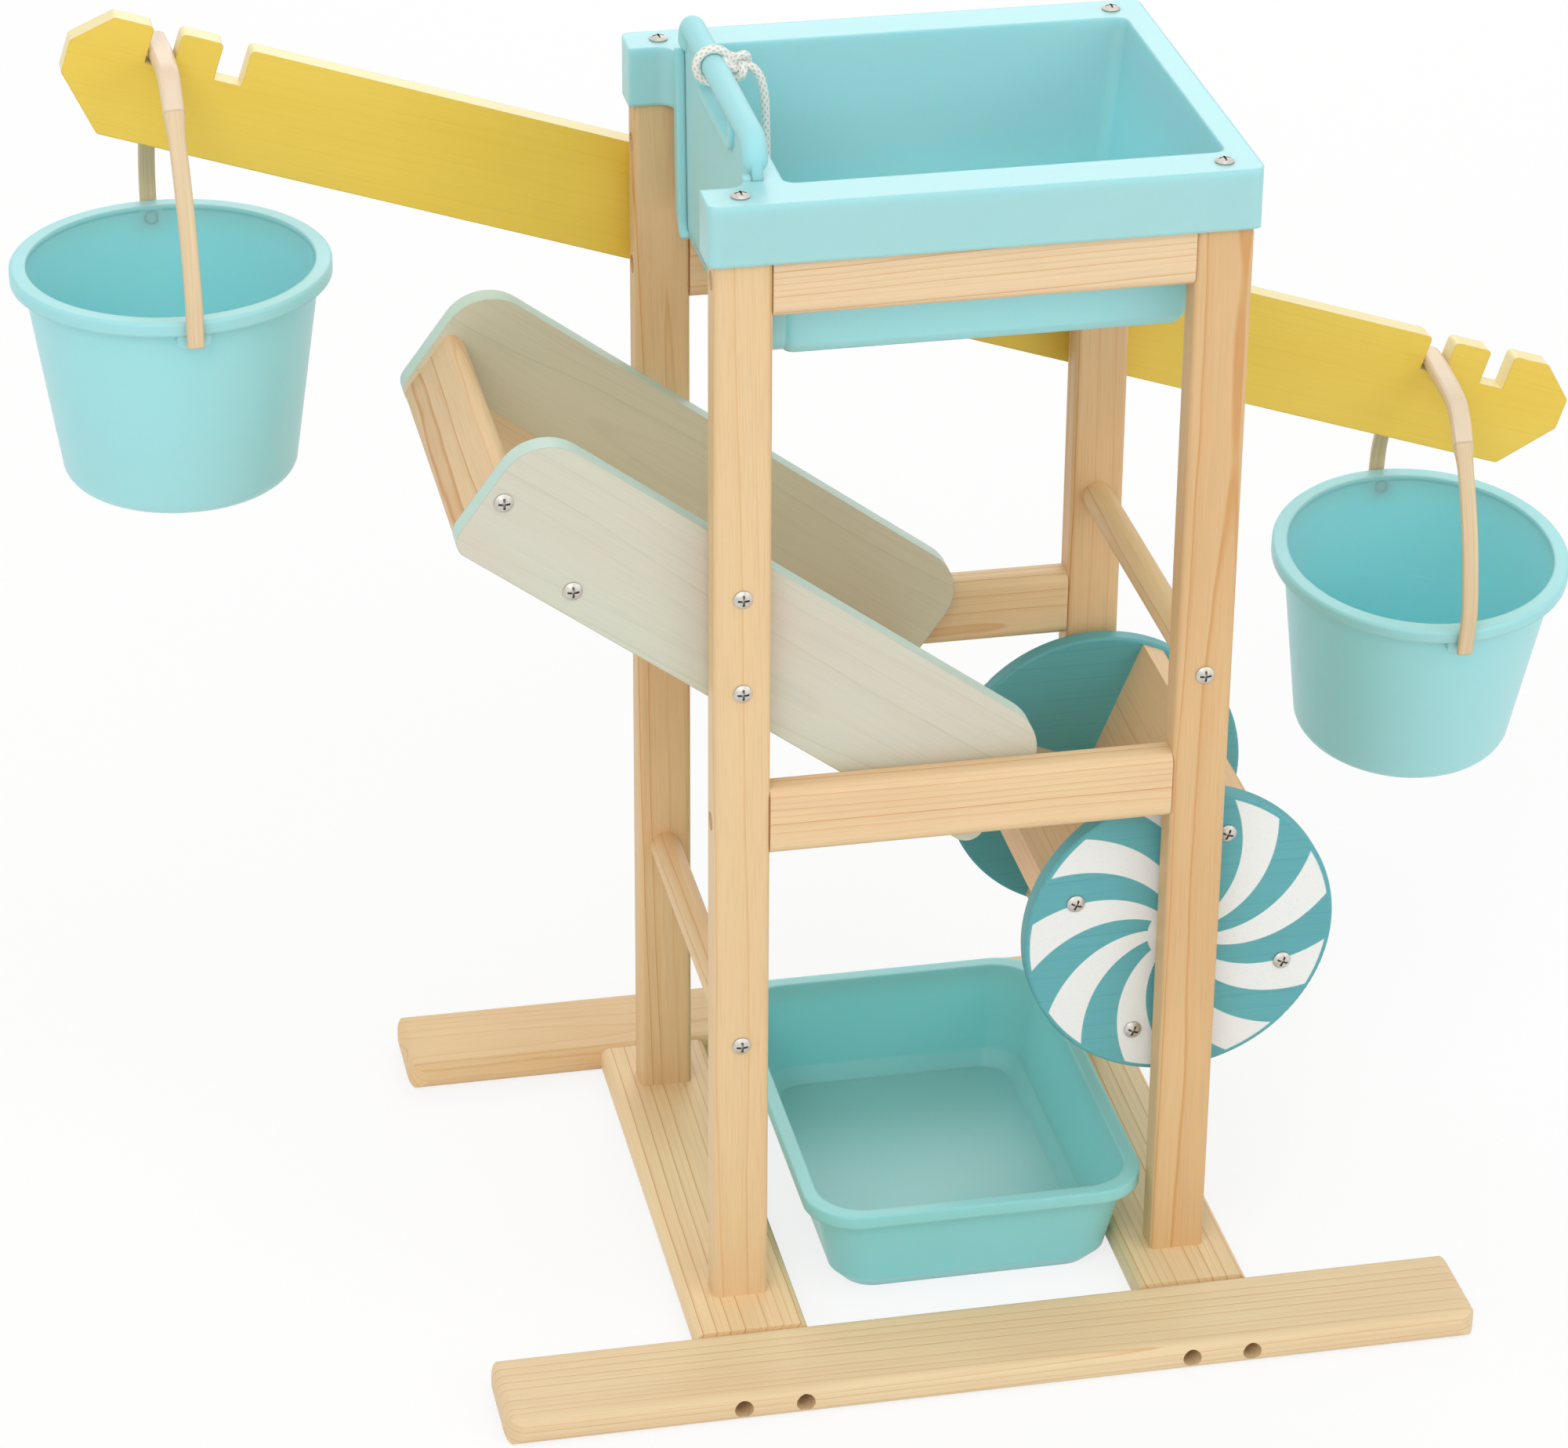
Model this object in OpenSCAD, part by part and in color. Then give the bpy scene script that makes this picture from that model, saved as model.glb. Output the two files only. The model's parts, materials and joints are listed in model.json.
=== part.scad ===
// Wooden sand play tower: a tray with a lift gate, a chute, a spinning sand wheel,
// a tub, and a swinging beam that carries two buckets.
// Origin on the ground at the middle of the feet, +X right, +Y away from the front, +Z up.

/* [Base] */
// Length of each foot board
foot_l = 500; // [480:1:560]
// Width of the foot boards and base planks
base_board_w = 58; // [50:1:60]
// Thickness of the foot boards and base planks
base_board_t = 15; // [12:1:20]
// Depth over both feet
base_depth = 396; // [388:1:440]
// Rounding of the long edges of the base boards
base_edge_r = 5.5; // [1:0.5:7]
// Rounding of the feet seen from above
foot_corner_r = 11; // [8:0.5:14]

/* [Tower] */
// Side to side distance between post centres
post_span_x = 230; // [228:1:250]
// Front to back distance between post centres
post_span_y = 207.4; // [205:0.2:214]
// How far the tower stands behind the middle of the feet
tower_back = 3; // [0:0.5:8]
// Width of a post, seen from the front
post_w = 28; // [24:1:30]
// Depth of a post
post_d = 18; // [16:1:20]
// Height of the post tops
post_top = 610; // [600:1:640]
// Rounding of the edges of the posts
post_edge_r = 3; // [1:0.5:4]
// Rounding of the edges of the rails
rail_edge_r = 6; // [1:0.5:7]
// Height of a rail
rail_h = 36; // [30:1:40]
// Height of the middle of the upper front rail
upper_rail_z = 573; // [570:0.5:582]
// Height of the middle of the middle front rail
mid_rail_z = 288; // [284:0.5:294]
// Height of the middle of the top rear rail
top_rear_rail_z = 560.5; // [556:0.5:566]
// Height of the middle of the rear rail that carries the beam
beam_rail_z = 495; // [484:0.5:500]
// Diameter of the round cross bars
dowel_d = 16; // [12:0.5:18]
// Height of the left cross bar
left_dowel_z = 163.8; // [150:0.2:180]
// Height of the right cross bar
right_dowel_z = 348.7; // [340:0.1:360]

/* [Tray] */
// Play of the skirt round the posts, sideways
tray_play_x = 1; // [0.6:0.1:3]
// Play of the skirt round the posts, front to back
tray_play_y = 0.8; // [0.6:0.1:2]
// Thickness of the rim plate
tray_rim_t = 3.5; // [2.5:0.5:5]
// Thickness of the skirt and of the basin walls
tray_wall = 2; // [1.5:0.1:2.2]
// Height of the skirt round the rim
skirt_h = 30; // [26:1:36]
// Depth of the basin below the rim
basin_depth = 92; // [80:1:96]
// Slope of the basin walls, as the inset of the floor
basin_draft = 14; // [8:1:18]
// Corner radius of the basin at the rim
basin_corner_r = 6; // [6:0.5:14]
// Depth of the recess in the left side of the rim
recess_d = 21.5; // [21:0.5:22]
// Diameter of the sand outlet in the floor
outlet_d = 26; // [20:1:30]

/* [Gate] */
// Thickness of the gate plate
gate_t = 5; // [4:0.1:5.2]
// Distance from the gate to the side of its recess
gate_side_in = 6.5; // [5.5:0.5:10]
// Height of the gate above its seat
gate_h = 112.3; // [109:0.1:118]
// Diameter of the grip bar
grip_d = 12; // [10:0.5:12]
// Width of the finger slot
finger_slot_w = 76; // [66:1:84]
// Diameter of the pull cord
cord_d = 4.4; // [3.6:0.2:4.8]

/* [Chute] */
// Downward tilt of the chute
chute_tilt = 36.3; // [35:0.1:37.5]
// Length of a side board
chute_l = 318.3; // [296:0.1:322]
// Height of a side board
chute_h = 71.5; // [66:0.5:74]
// Thickness of the chute boards
chute_t = 12; // [10:0.5:13]
// Large corner radius of a side board
chute_top_r = 25; // [12:1:30]
// Small corner radius of a side board
chute_bottom_r = 9; // [4:1:16]

/* [Wheel] */
// Outer diameter of the wheel discs
wheel_d = 161; // [140:1:166]
// Thickness of a disc
disc_t = 10; // [8:0.5:11]
// Height of the wheel axle
wheel_z = 191; // [180:1:200]
// Diameter of the wheel axle
axle_d = 10; // [8:0.5:12]
// Thickness of a paddle
paddle_t = 12; // [8:0.5:12]
// Angle of the first paddle
paddle_turn = 67.7; // [0:0.1:90]

/* [Beam] */
// Length of the beam
beam_l = 822; // [800:1:840]
// Height of the beam
beam_h = 60; // [54:1:64]
// Thickness of the beam
beam_t = 12; // [10:0.5:12]
// Rest tilt of the beam, right end down
beam_tilt = 18.25; // [0:0.25:20]
// Sideways place of the beam pivot
beam_pivot_x = -12.2; // [-16:0.1:-8]
// Height of the pivot above the middle of the beam
beam_pivot_up = 9.8; // [6:0.1:12]
// Width of a bucket notch
notch_w = 14; // [14:0.5:16]
// Depth of a bucket notch
notch_deep = 19; // [16:0.5:22]
// Distance from an end of the beam to its inner notch
inner_notch_in = 80; // [77:1:89]
// Distance from an end of the beam to its outer notch
outer_notch_in = 45; // [41:1:49]
// Diameter of the pivot bolt
bolt_d = 8; // [6:0.5:10]

/* [Buckets] */
// Diameter over the bucket rim
bucket_d = 160; // [150:1:164]
// Height of a bucket
bucket_h = 115.4; // [100:0.2:124]
// Outer diameter of the bucket body under its rim
bucket_top_d = 148.2; // [138:0.2:149]
// Outer diameter of the bucket near its bottom
bucket_bottom_d = 118.8; // [100:0.2:130]
// Wall of a bucket
bucket_wall = 2.2; // [1.6:0.1:3]
// Drop of the rolled bucket rim
bucket_rim_h = 7; // [5:0.5:9]
// Height of the handle's middle line above the bucket rim
bail_up = 109; // [104:0.5:116]
// Width of the handle at the grip
bail_grip_w = 12; // [10:0.5:12]
// Thickness of the handle at the grip
bail_grip_t = 6.5; // [5:0.1:6.5]
// Width of a handle leg
bail_leg_w = 8.5; // [7:0.5:9]
// Thickness of a handle leg
bail_leg_t = 4; // [3:0.1:4.4]
// Turn of the left bucket about the vertical
left_yaw = 2.3; // [0:0.1:4]
// Lean of the right bucket towards the front
right_lean = 7.8; // [0:0.1:8]

/* [Tub] */
// Width of the tub rim
tub_w = 177; // [160:1:177]
// Play between the tub and each foot
tub_end_play = 19.5; // [18:0.5:30]
// Height of the tub
tub_h = 56.5; // [50:0.5:70]
// Sideways place of the middle of the tub
tub_x = 10.5; // [6:0.5:10.5]
// Wall of the tub
tub_wall = 2.2; // [1.8:0.1:3]
// Corner radius of the tub rim
tub_corner_r = 28; // [20:1:36]

/* [Hidden] */
$fn = 64;

// Finishes
pine = "#E3C08C";
blue_plastic = "#A6D9DC";
teal = "#62AAB0";
pale_stain = "#CDD0BC";
yellow = "#DFC150";
beige = "#E0C8A6";
steel = "#9A9DA0";
cord_white = "#ECE9E0";

// Clearances and overruns
cut = 1;
run_gap = 0.05;
slide_gap = 0.2;
seat_gap = 0.05;
body_gap = 0.4;

// Places of the base and the tower
foot_y = (base_depth - base_board_w) / 2;
plank_l = base_depth - 2 * base_board_w;
post_x = post_span_x / 2;
post_y = post_span_y / 2;
post_h = post_top - base_board_t;
post_face_y = post_y + post_d / 2;
post_inner_y = post_y - post_d / 2;
rail_l = post_span_x - post_w;
rear_rail_drop = 2;
mid_rear_rail_z = mid_rail_z - rear_rail_drop;

// Screws
screw_r = 2;
screw_head_r = 4.6;
screw_head_h = 2.4;
dome_share = 1.5;
cross_share = 0.62;
cross_w = 1.1;
cross_deep = 1.3;
counterbore_r = 4.8;
foot_screw_l = 58;
foot_counterbore = 24;
foot_screw_share = 0.27;
rail_screw_l = 42;
rail_counterbore = 8;
frame_screw_l = 26;
tray_screw_l = 30;
chute_screw_l = 28;
disc_screw_l = 30;

// Tray
tray_top = post_top + tray_rim_t;
tray_w = post_span_x + post_w + 2 * (tray_wall + tray_play_x);
tray_d = post_span_y + post_d + 2 * (tray_wall + tray_play_y);
tray_corner_r = tray_wall + post_edge_r;
recess_r = 8;
recess_half_y = post_inner_y - slide_gap - tray_wall;
basin_to_post = 9;
basin_to_side = 12.5;
basin_to_rail = 0.7;
basin_left_x = post_x - post_w / 2 - basin_to_post;
basin_right_x = tray_w / 2 - basin_to_side;
basin_half_y = post_inner_y - tray_wall - basin_to_rail;
basin_left_draft = 3;
basin_edge_r = 5;
edge_inset_share = 0.6;
floor_z = tray_top - basin_depth;

// Gate and its channel
channel_x = tray_w / 2 - recess_d;
flange_t = 4.3;
gate_x = channel_x - flange_t - slide_gap - gate_t / 2;
gate_taper = 6;
gate_w = 2 * (recess_half_y - gate_side_in);
channel_bottom_t = tray_wall;
gate_seat_z = floor_z + channel_bottom_t + slide_gap;
gate_top = gate_seat_z + gate_h;
gate_corner_r = 15;
channel_edge = 4;
flange_cover = 5;
finger_slot_h = 10;
slot_rim_t = 2.4;
slot_rim_w = 5;
grip_z = gate_top - grip_d / 2;
plate_top = grip_z + grip_d / 4;
sluice_w = 60;
sluice_h = 30;
sluice_r = 8;

// Pull cord: its route from the grip to the basin floor
cord_side = 20;
cord_y = tower_back + cord_side;
knot_d = 10;
end_knot_d = 8.5;
cord_sides = 8;
cord_route = [
    [-89, 23, 629.5], [-86.5, 22.9, 629], [-84, 22.7, 627.4], [-81.8, 22.5, 624.6], [-80.2, 22.3, 620.5],
    [-79.1, 22.2, 615], [-78.5, 22.1, 607.5], [-78.2, 22, 598], [-78, 22, 587], [-77.9, 22, 575],
    [-77.7, 22, 563], [-77.2, 22, 552], [-76, 22, 542], [-73.2, 22, 534], [-68.5, 22, 528.8],
    [-61.5, 21.6, 526.6], [-53, 20.6, 526.2], [-44.5, 18.6, 526.2], [-36.5, 15.6, 526.6], [-29.5, 11.8, 527.7]
];

// Chute, in its own tilted plane: s runs down the chute, n stands square to it
chute_s1 = -147.5;
chute_s0 = chute_s1 - chute_l;
chute_n0 = 207.5;
chute_rise = 6;
chute_floor_short = 22.3;
chute_floor_l = chute_l - chute_floor_short;
end_board_h = 42;
end_board_r = 5.5;
chute_front_y = tower_back - post_inner_y + chute_t / 2;
chute_rear_y = tower_back + post_inner_y - chute_t / 2;
chute_inner_w = chute_rear_y - chute_front_y - chute_t;
floor_n = chute_n0 + chute_rise + chute_t / 2;
end_screw_up = 32.6;
end_screw_n = chute_n0 + end_screw_up;
floor_screw_in = 64.1;
floor_screw_s = chute_s0 + floor_screw_in;
end_board_s = chute_s0 + chute_t / 4;
upper_chute_screw_z = 411.5;
lower_chute_screw_z = 361.1;

// Wheel
wheel_x = post_x;
wheel_gap = 4;
disc_edge_r = 1.5;
disc_y = post_inner_y - wheel_gap - disc_t / 2;
paddle_n = 4;
paddle_in = 9;
paddle_rim = 2;
paddle_l = wheel_d / 2 - paddle_rim - paddle_in;
paddle_w = 2 * disc_y - disc_t;
disc_screw_pitch = 59.3;
spacer_d = 22;
axle_seat = 10;

// Beam, in its own plane: e runs along the beam from its middle, n stands square to it
beam_gap = 6.3;
beam_y = tower_back + post_face_y + beam_gap + beam_t / 2;
beam_pivot_z = beam_rail_z;
beam_corner_r = 2.5;
inner_notch_s = beam_l / 2 - inner_notch_in;
outer_notch_s = beam_l / 2 - outer_notch_in;
end_share = 0.4562;
end_top_share = 0.225;
end_low_share = 0.0583;
end_chamfer = 18;
low_chamfer = 25;
hang_up = 5.1;
notch_floor = beam_h / 2 - notch_deep;
hang_n = notch_floor + hang_up - beam_pivot_up;
bolt_head_d = 18;
bolt_head_h = 4.5;
washer_t = 1.6;
washer_d = 20;
nut_t = 7;
nut_d = 15;

// Buckets and handles
bucket_edge_r = 11;
bucket_lip_t = 2.4;
lug_w = 16.5;
lug_h = 14.5;
lug_corner_r = 3;
lug_pin_d = 6;
lug_pin_drop = 6.5;
leg_r = bucket_d / 2 + body_gap + bail_leg_t / 2;
leg_below = 12;
grip_blend = 6;
grip_reach = 46;
right_shift = 18;
left_hang = hang_point(-outer_notch_s);
right_hang = hang_point(inner_notch_s);
bail_shares_v = [0, 0.1, 0.2427, 0.3277, 0.4005, 0.4612, 0.5219, 0.6068, 0.7039, 0.8374, 0.9284, 0.9794, 1];
bail_shares_u = [1, 1, 0.9944, 0.98, 0.944, 0.9, 0.84, 0.76, 0.65, 0.47, 0.3, 0.18, 0.08];
bail_drop_share = interp(right_shift / leg_r);
bail_steps = 3;
bail_corner_steps = 3;
bail_corner_share = 0.7;
bail_end_share = 0.55;

// Tub
tub_back = 3.5;
tub_y = tower_back + tub_back;
tub_d = plank_l - 2 * tub_end_play;
tub_rim_w = 5;
tub_rim_t = 2.4;
tub_lip_h = 7;
tub_inset = 17;
tub_edge_r = 8;

// Point on the tilted chute: distance down it and height square to it
function chute_point(s, n) = [
    s * cos(chute_tilt) + n * sin(chute_tilt),
    n * cos(chute_tilt) - s * sin(chute_tilt)
];

// Place seen from the front of a handle's hinge, a distance e along the beam
function hang_point(e) = [
    beam_pivot_x + e * cos(beam_tilt) + hang_n * sin(beam_tilt),
    beam_pivot_z - e * sin(beam_tilt) + hang_n * cos(beam_tilt)
];

// Smooth curve through four points, between the middle two
function blend(a, b, c, d, t) =
    (2 * b + (c - a) * t + (2 * a - 5 * b + 4 * c - d) * t * t + (3 * b - a - 3 * c + d) * t * t * t) / 2;

// Height share of the handle at a share of its half width
function interp(v) = lookup(v, [for (i = [0:len(bail_shares_v) - 1]) [bail_shares_v[i], bail_shares_u[i]]]);

// Half of the handle's middle line, from its top to the end of a leg
bail_knots = [for (i = [0:len(bail_shares_v) - 1]) [leg_r * bail_shares_v[i], bail_up * bail_shares_u[i]]];
bail_half = [
    for (i = [0:len(bail_knots) - 2], k = [0:bail_steps - 1])
        blend(
            i == 0 ? [-bail_knots[1][0], bail_knots[1][1]] : bail_knots[i - 1],
            bail_knots[i],
            bail_knots[i + 1],
            i == len(bail_knots) - 2 ? [leg_r, -leg_below] : bail_knots[i + 2],
            k / bail_steps
        ),
    bail_knots[len(bail_knots) - 1],
    [leg_r, -leg_below]
];
bail_path = concat(
    [for (i = [len(bail_half) - 1:-1:1]) [-bail_half[i][0], bail_half[i][1]]],
    bail_half
);

// Rectangle with round corners, centred
module round_rect(w, h, r) {
    square([w - 2 * r, h], center = true);
    square([w, h - 2 * r], center = true);
    for (sx = [-1, 1], sy = [-1, 1])
        translate([sx * (w / 2 - r), sy * (h / 2 - r)])
            circle(r);
}

// Board along X with eased long edges, centred
module board_x(l, w, t, r) {
    rotate([90, 0, 90])
        linear_extrude(height = l, center = true)
            round_rect(w, t, r);
}

// Board along Y with eased long edges, centred
module board_y(l, w, t, r) {
    rotate([90, 0, 0])
        linear_extrude(height = l, center = true)
            round_rect(w, t, r);
}

// Screw pointing along -Z, with its seat at the origin
module screw(l) {
    difference() {
        union() {
            translate([0, 0, -l])
                cylinder(h = l, r = screw_r);
            intersection() {
                cylinder(h = screw_head_h, r = screw_head_r);
                translate([0, 0, screw_head_h - screw_head_r * dome_share])
                    sphere(screw_head_r * dome_share);
            }
        }
        for (turn = [0, 90])
            rotate(turn)
                translate([0, 0, screw_head_h])
                    cube([2 * screw_head_r * cross_share, cross_w, 2 * cross_deep], center = true);
    }
}

// Pilot hole for a screw, with a counterbore above its seat
module screw_hole(l, bore = 0) {
    translate([0, 0, -l - run_gap])
        cylinder(h = l + 2 * run_gap + cut, r = screw_r + run_gap);
    if (bore > 0)
        cylinder(h = bore + cut, r = counterbore_r);
}

// Places what follows at the four foot screws of one foot, pointing into it
module at_foot_screws(side) {
    for (px = [-1, 1], sx = [-1, 1])
        translate([
            px * post_x + sx * base_board_w * foot_screw_share,
            side * (base_depth / 2 - foot_counterbore),
            base_board_t / 2
        ])
            rotate([-side * 90, 0, 0])
                children();
}

module foot(side) {
    color(pine)
        difference() {
            translate([0, side * foot_y, base_board_t / 2])
                intersection() {
                    board_x(foot_l, base_board_w, base_board_t, base_edge_r);
                    board_y(base_board_w, foot_l, base_board_t, base_edge_r);
                    linear_extrude(height = base_board_t, center = true)
                        round_rect(foot_l, base_board_w, foot_corner_r);
                }
            at_foot_screws(side)
                screw_hole(foot_screw_l, foot_counterbore);
        }
}

module base_plank(side) {
    color(pine)
        difference() {
            translate([side * post_x, 0, base_board_t / 2])
                board_y(plank_l, base_board_w, base_board_t, base_edge_r);
            for (end = [-1, 1])
                at_foot_screws(end)
                    screw_hole(foot_screw_l);
        }
}

module foot_screws() {
    color(steel)
        for (end = [-1, 1])
            at_foot_screws(end)
                screw(foot_screw_l);
}

// Places what follows at the ends of one rail, pointing into the post and the rail
module at_rail_ends(side, z) {
    for (sx = [-1, 1])
        translate([sx * (post_x + post_w / 2 - rail_counterbore), tower_back + side * post_y, z])
            rotate([0, sx * 90, 0])
                children();
}

// Places what follows at every rail screw
module at_rail_screws() {
    for (z = [upper_rail_z, mid_rail_z])
        at_rail_ends(-1, z)
            children();
    for (z = [top_rear_rail_z, beam_rail_z, mid_rear_rail_z])
        at_rail_ends(1, z)
            children();
}

// Places what follows at the screws of the dowels and the chute, on the outer post faces
module at_frame_screws() {
    for (side = [-1, 1], place = [
        [-post_x, upper_chute_screw_z], [-post_x, lower_chute_screw_z],
        [-post_x, left_dowel_z], [post_x, right_dowel_z]
    ])
        translate([place[0], tower_back + side * post_face_y, place[1]])
            rotate([-side * 90, 0, 0])
                children();
}

// Places what follows at the four tray screws
module at_tray_screws() {
    for (sx = [-1, 1], sy = [-1, 1])
        translate([sx * post_x, tower_back + sy * post_y, tray_top])
            children();
}

module post(sx, sy) {
    color(pine)
        difference() {
            translate([sx * post_x, tower_back + sy * post_y, base_board_t])
                linear_extrude(height = post_h)
                    round_rect(post_w, post_d, post_edge_r);
            at_rail_screws()
                screw_hole(rail_screw_l, rail_counterbore);
            at_frame_screws()
                screw_hole(frame_screw_l);
            at_tray_screws()
                screw_hole(tray_screw_l);
            translate([wheel_x, tower_back, wheel_z])
                rotate([90, 0, 0])
                    cylinder(h = 2 * (post_inner_y + axle_seat + seat_gap), r = axle_d / 2 + run_gap, center = true);
        }
}

module rail(side, z) {
    color(pine)
        difference() {
            translate([0, tower_back + side * post_y, z])
                board_x(rail_l, post_d, rail_h, rail_edge_r);
            at_rail_ends(side, z)
                screw_hole(rail_screw_l);
            if (z == beam_rail_z)
                at_beam_pivot()
                    cylinder(h = 2 * beam_y, r = bolt_d / 2 + run_gap, center = true);
        }
}

module rail_screws() {
    color(steel)
        at_rail_screws()
            screw(rail_screw_l);
}

module dowel(side, z) {
    color(pine)
        difference() {
            translate([side * post_x, tower_back, z])
                rotate([90, 0, 0])
                    cylinder(h = 2 * post_inner_y, d = dowel_d, center = true);
            at_frame_screws()
                screw_hole(frame_screw_l);
        }
}

module frame_screws() {
    color(steel)
        at_frame_screws()
            screw(frame_screw_l);
}

// Tray seen from above, drawn in by a wall thickness
module tray_plan(inset) {
    difference() {
        round_rect(tray_w - 2 * inset, tray_d - 2 * inset, tray_corner_r - inset);
        translate([-tray_w / 2, 0])
            round_rect(2 * (recess_d + inset), 2 * (recess_half_y + inset), recess_r);
    }
}

// One level of the basin, drawn in by an inset, at a height
module basin_level(z, draft, inset) {
    left = basin_left_x - draft * basin_left_draft / basin_draft - inset;
    right = basin_right_x - draft - inset;
    half = basin_half_y - draft - inset;
    translate([(right - left) / 2, 0, z])
        linear_extrude(height = run_gap)
            round_rect(right + left, 2 * half, basin_corner_r - inset);
}

// Drafted basin, grown by a wall, from its floor to above the rim
module basin_form(wall, base_z, top_z) {
    hull() {
        basin_level(top_z, 0, -wall);
        basin_level(base_z + basin_edge_r, basin_draft * (1 - basin_edge_r / basin_depth), -wall);
        basin_level(base_z, basin_draft, basin_edge_r * edge_inset_share - wall);
    }
}

// Gate seen from the side, grown by a clearance
module gate_outline(grow, top_z, corner) {
    half = gate_w / 2 + grow;
    low = gate_seat_z - grow;
    polygon([
        [-(half - gate_taper), low], [half - gate_taper, low],
        [half, post_top], [-half, post_top]
    ]);
    if (corner > 0)
        translate([0, (post_top + top_z) / 2 - corner / 2])
            round_rect(2 * half, top_z - post_top + corner, corner);
    else
        translate([-half, post_top - cut])
            square([2 * half, top_z - post_top + cut]);
}

// Channel that holds the gate, seen from the side
module channel_outline() {
    half = gate_w / 2 + slide_gap + channel_edge;
    low = gate_seat_z - slide_gap - channel_bottom_t;
    r = gate_corner_r;
    translate([0, low + 1.5 * r])
        round_rect(2 * (half - gate_taper), 3 * r, r);
    polygon([
        [-(half - gate_taper), low + r], [half - gate_taper, low + r],
        [half, post_top], [-half, post_top]
    ]);
}

// Extrudes an outline in the YZ plane from one x to another
module along_x(x0, x1) {
    translate([x0, 0, 0])
        rotate([90, 0, 90])
            linear_extrude(height = x1 - x0)
                children();
}

module tray() {
    slot_x = -gate_x - gate_t / 2 - slide_gap;
    window_half = gate_w / 2 - flange_cover;
    color(blue_plastic)
        translate([0, tower_back, 0])
            difference() {
                union() {
                    translate([0, 0, post_top])
                        linear_extrude(height = tray_rim_t)
                            tray_plan(0);
                    translate([0, 0, tray_top - skirt_h])
                        linear_extrude(height = skirt_h - tray_rim_t)
                            difference() {
                                tray_plan(0);
                                tray_plan(tray_wall);
                            }
                    basin_form(tray_wall, floor_z, post_top);
                    along_x(-channel_x, -basin_left_x + basin_left_draft)
                        channel_outline();
                    for (sy = [-1, 1])
                        translate([-channel_x, sy * (gate_w / 2 - flange_cover / 2), tray_top])
                            rotate([0, 90, 0])
                                cylinder(h = flange_t, r = flange_cover / 2);
                }
                basin_form(0, floor_z + tray_wall, tray_top + cut);
                along_x(slot_x, slot_x + gate_t + 2 * slide_gap)
                    gate_outline(slide_gap, tray_top + flange_cover, 0);
                along_x(-channel_x - cut, slot_x + run_gap) {
                    polygon([
                        [-(window_half - gate_taper), floor_z + recess_r],
                        [window_half - gate_taper, floor_z + recess_r],
                        [window_half, tray_top + flange_cover],
                        [-window_half, tray_top + flange_cover]
                    ]);
                    translate([0, floor_z + 1.5 * recess_r])
                        round_rect(2 * (window_half - gate_taper), 3 * recess_r, recess_r);
                }
                along_x(slot_x, -basin_left_x + basin_left_draft + basin_edge_r)
                    translate([0, floor_z + tray_wall + sluice_h / 2])
                        round_rect(sluice_w, sluice_h, sluice_r);
                translate([-basin_left_x + basin_left_draft + outlet_d / 2 + tray_wall, 0, floor_z - cut])
                    cylinder(h = 2 * cut + 2 * tray_wall, d = outlet_d);
                translate([0, -tower_back, 0])
                    at_tray_screws()
                        screw_hole(tray_screw_l);
            }
}

module tray_screws() {
    color(steel)
        at_tray_screws()
            screw(tray_screw_l);
}

// Rounded bar with ball ends that follows the top edge of the gate and turns down at its corners
module gate_rim() {
    r = grip_d / 2;
    turn_y = gate_w / 2 - gate_corner_r;
    translate([0, 0, grip_z]) {
        rotate([90, 0, 0])
            cylinder(h = 2 * turn_y, d = grip_d, center = true);
        for (side = [0, 1])
            mirror([0, side, 0])
                translate([0, turn_y, r - gate_corner_r])
                    rotate([90, 0, 90])
                        rotate_extrude(angle = 90)
                            translate([gate_corner_r - r, 0])
                                circle(r);
        for (side = [-1, 1])
            translate([0, side * (gate_w / 2 - r), r - gate_corner_r])
                sphere(r);
    }
}

module gate() {
    slot_h = finger_slot_h + grip_d / 2;
    color(blue_plastic)
        translate([-gate_x, tower_back, 0]) {
            difference() {
                union() {
                    along_x(-gate_t / 2, gate_t / 2)
                        gate_outline(0, plate_top, gate_corner_r);
                    along_x(-gate_t / 2 - slot_rim_t, 0)
                        translate([0, grip_z - slot_h / 2 - slot_rim_w / 2])
                            round_rect(
                                finger_slot_w + 2 * slot_rim_w,
                                slot_h + slot_rim_w,
                                finger_slot_h / 2 + slot_rim_w
                            );
                }
                along_x(-gate_t - slot_rim_t, gate_t)
                    translate([0, grip_z - slot_h / 2])
                        round_rect(finger_slot_w, slot_h, finger_slot_h / 2);
            }
            gate_rim();
        }
}

// Loop of cord round the grip bar, with the knot behind it
module cord_loop() {
    ring_r = (grip_d + cord_d) / 2 + run_gap;
    color(cord_white)
        translate([-gate_x, cord_y, grip_z]) {
            rotate([90, 0, 0])
                rotate_extrude()
                    translate([ring_r, 0])
                        circle(d = cord_d);
            translate([(grip_d + knot_d) / 2 + run_gap, 0, 0])
                sphere(d = knot_d);
        }
}

// Direction of a path at one of its points
function path_dir(p, i) =
    let (d = p[min(i + 1, len(p) - 1)] - p[max(i - 1, 0)])
        d / norm(d);

// Ring of points square to a direction, level with the ground at its sides
function ring_at(c, d, r, n) =
    let (
        side = abs(d[2]) > 0.95 ? [0, 1, 0] : [0, 0, 1],
        a = cross(side, d) / norm(cross(side, d)),
        b = cross(d, a)
    )
        [for (k = [0:n - 1]) c + r * (a * cos(360 * k / n) + b * sin(360 * k / n))];

// Closed skin over rings of points
module skin(rings) {
    n = len(rings[0]);
    m = len(rings);
    points = [for (ring = rings) each ring];
    walls = [
        for (i = [0:m - 2], k = [0:n - 1])
            let (a = i * n + k, b = i * n + (k + 1) % n)
                each [[a, b + n, b], [a, a + n, b + n]]
    ];
    caps = [
        each [for (k = [1:n - 2]) [0, k, k + 1]],
        each [for (k = [1:n - 2]) [(m - 1) * n, (m - 1) * n + k + 1, (m - 1) * n + k]]
    ];
    polyhedron(points = points, faces = concat(walls, caps));
}

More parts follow.
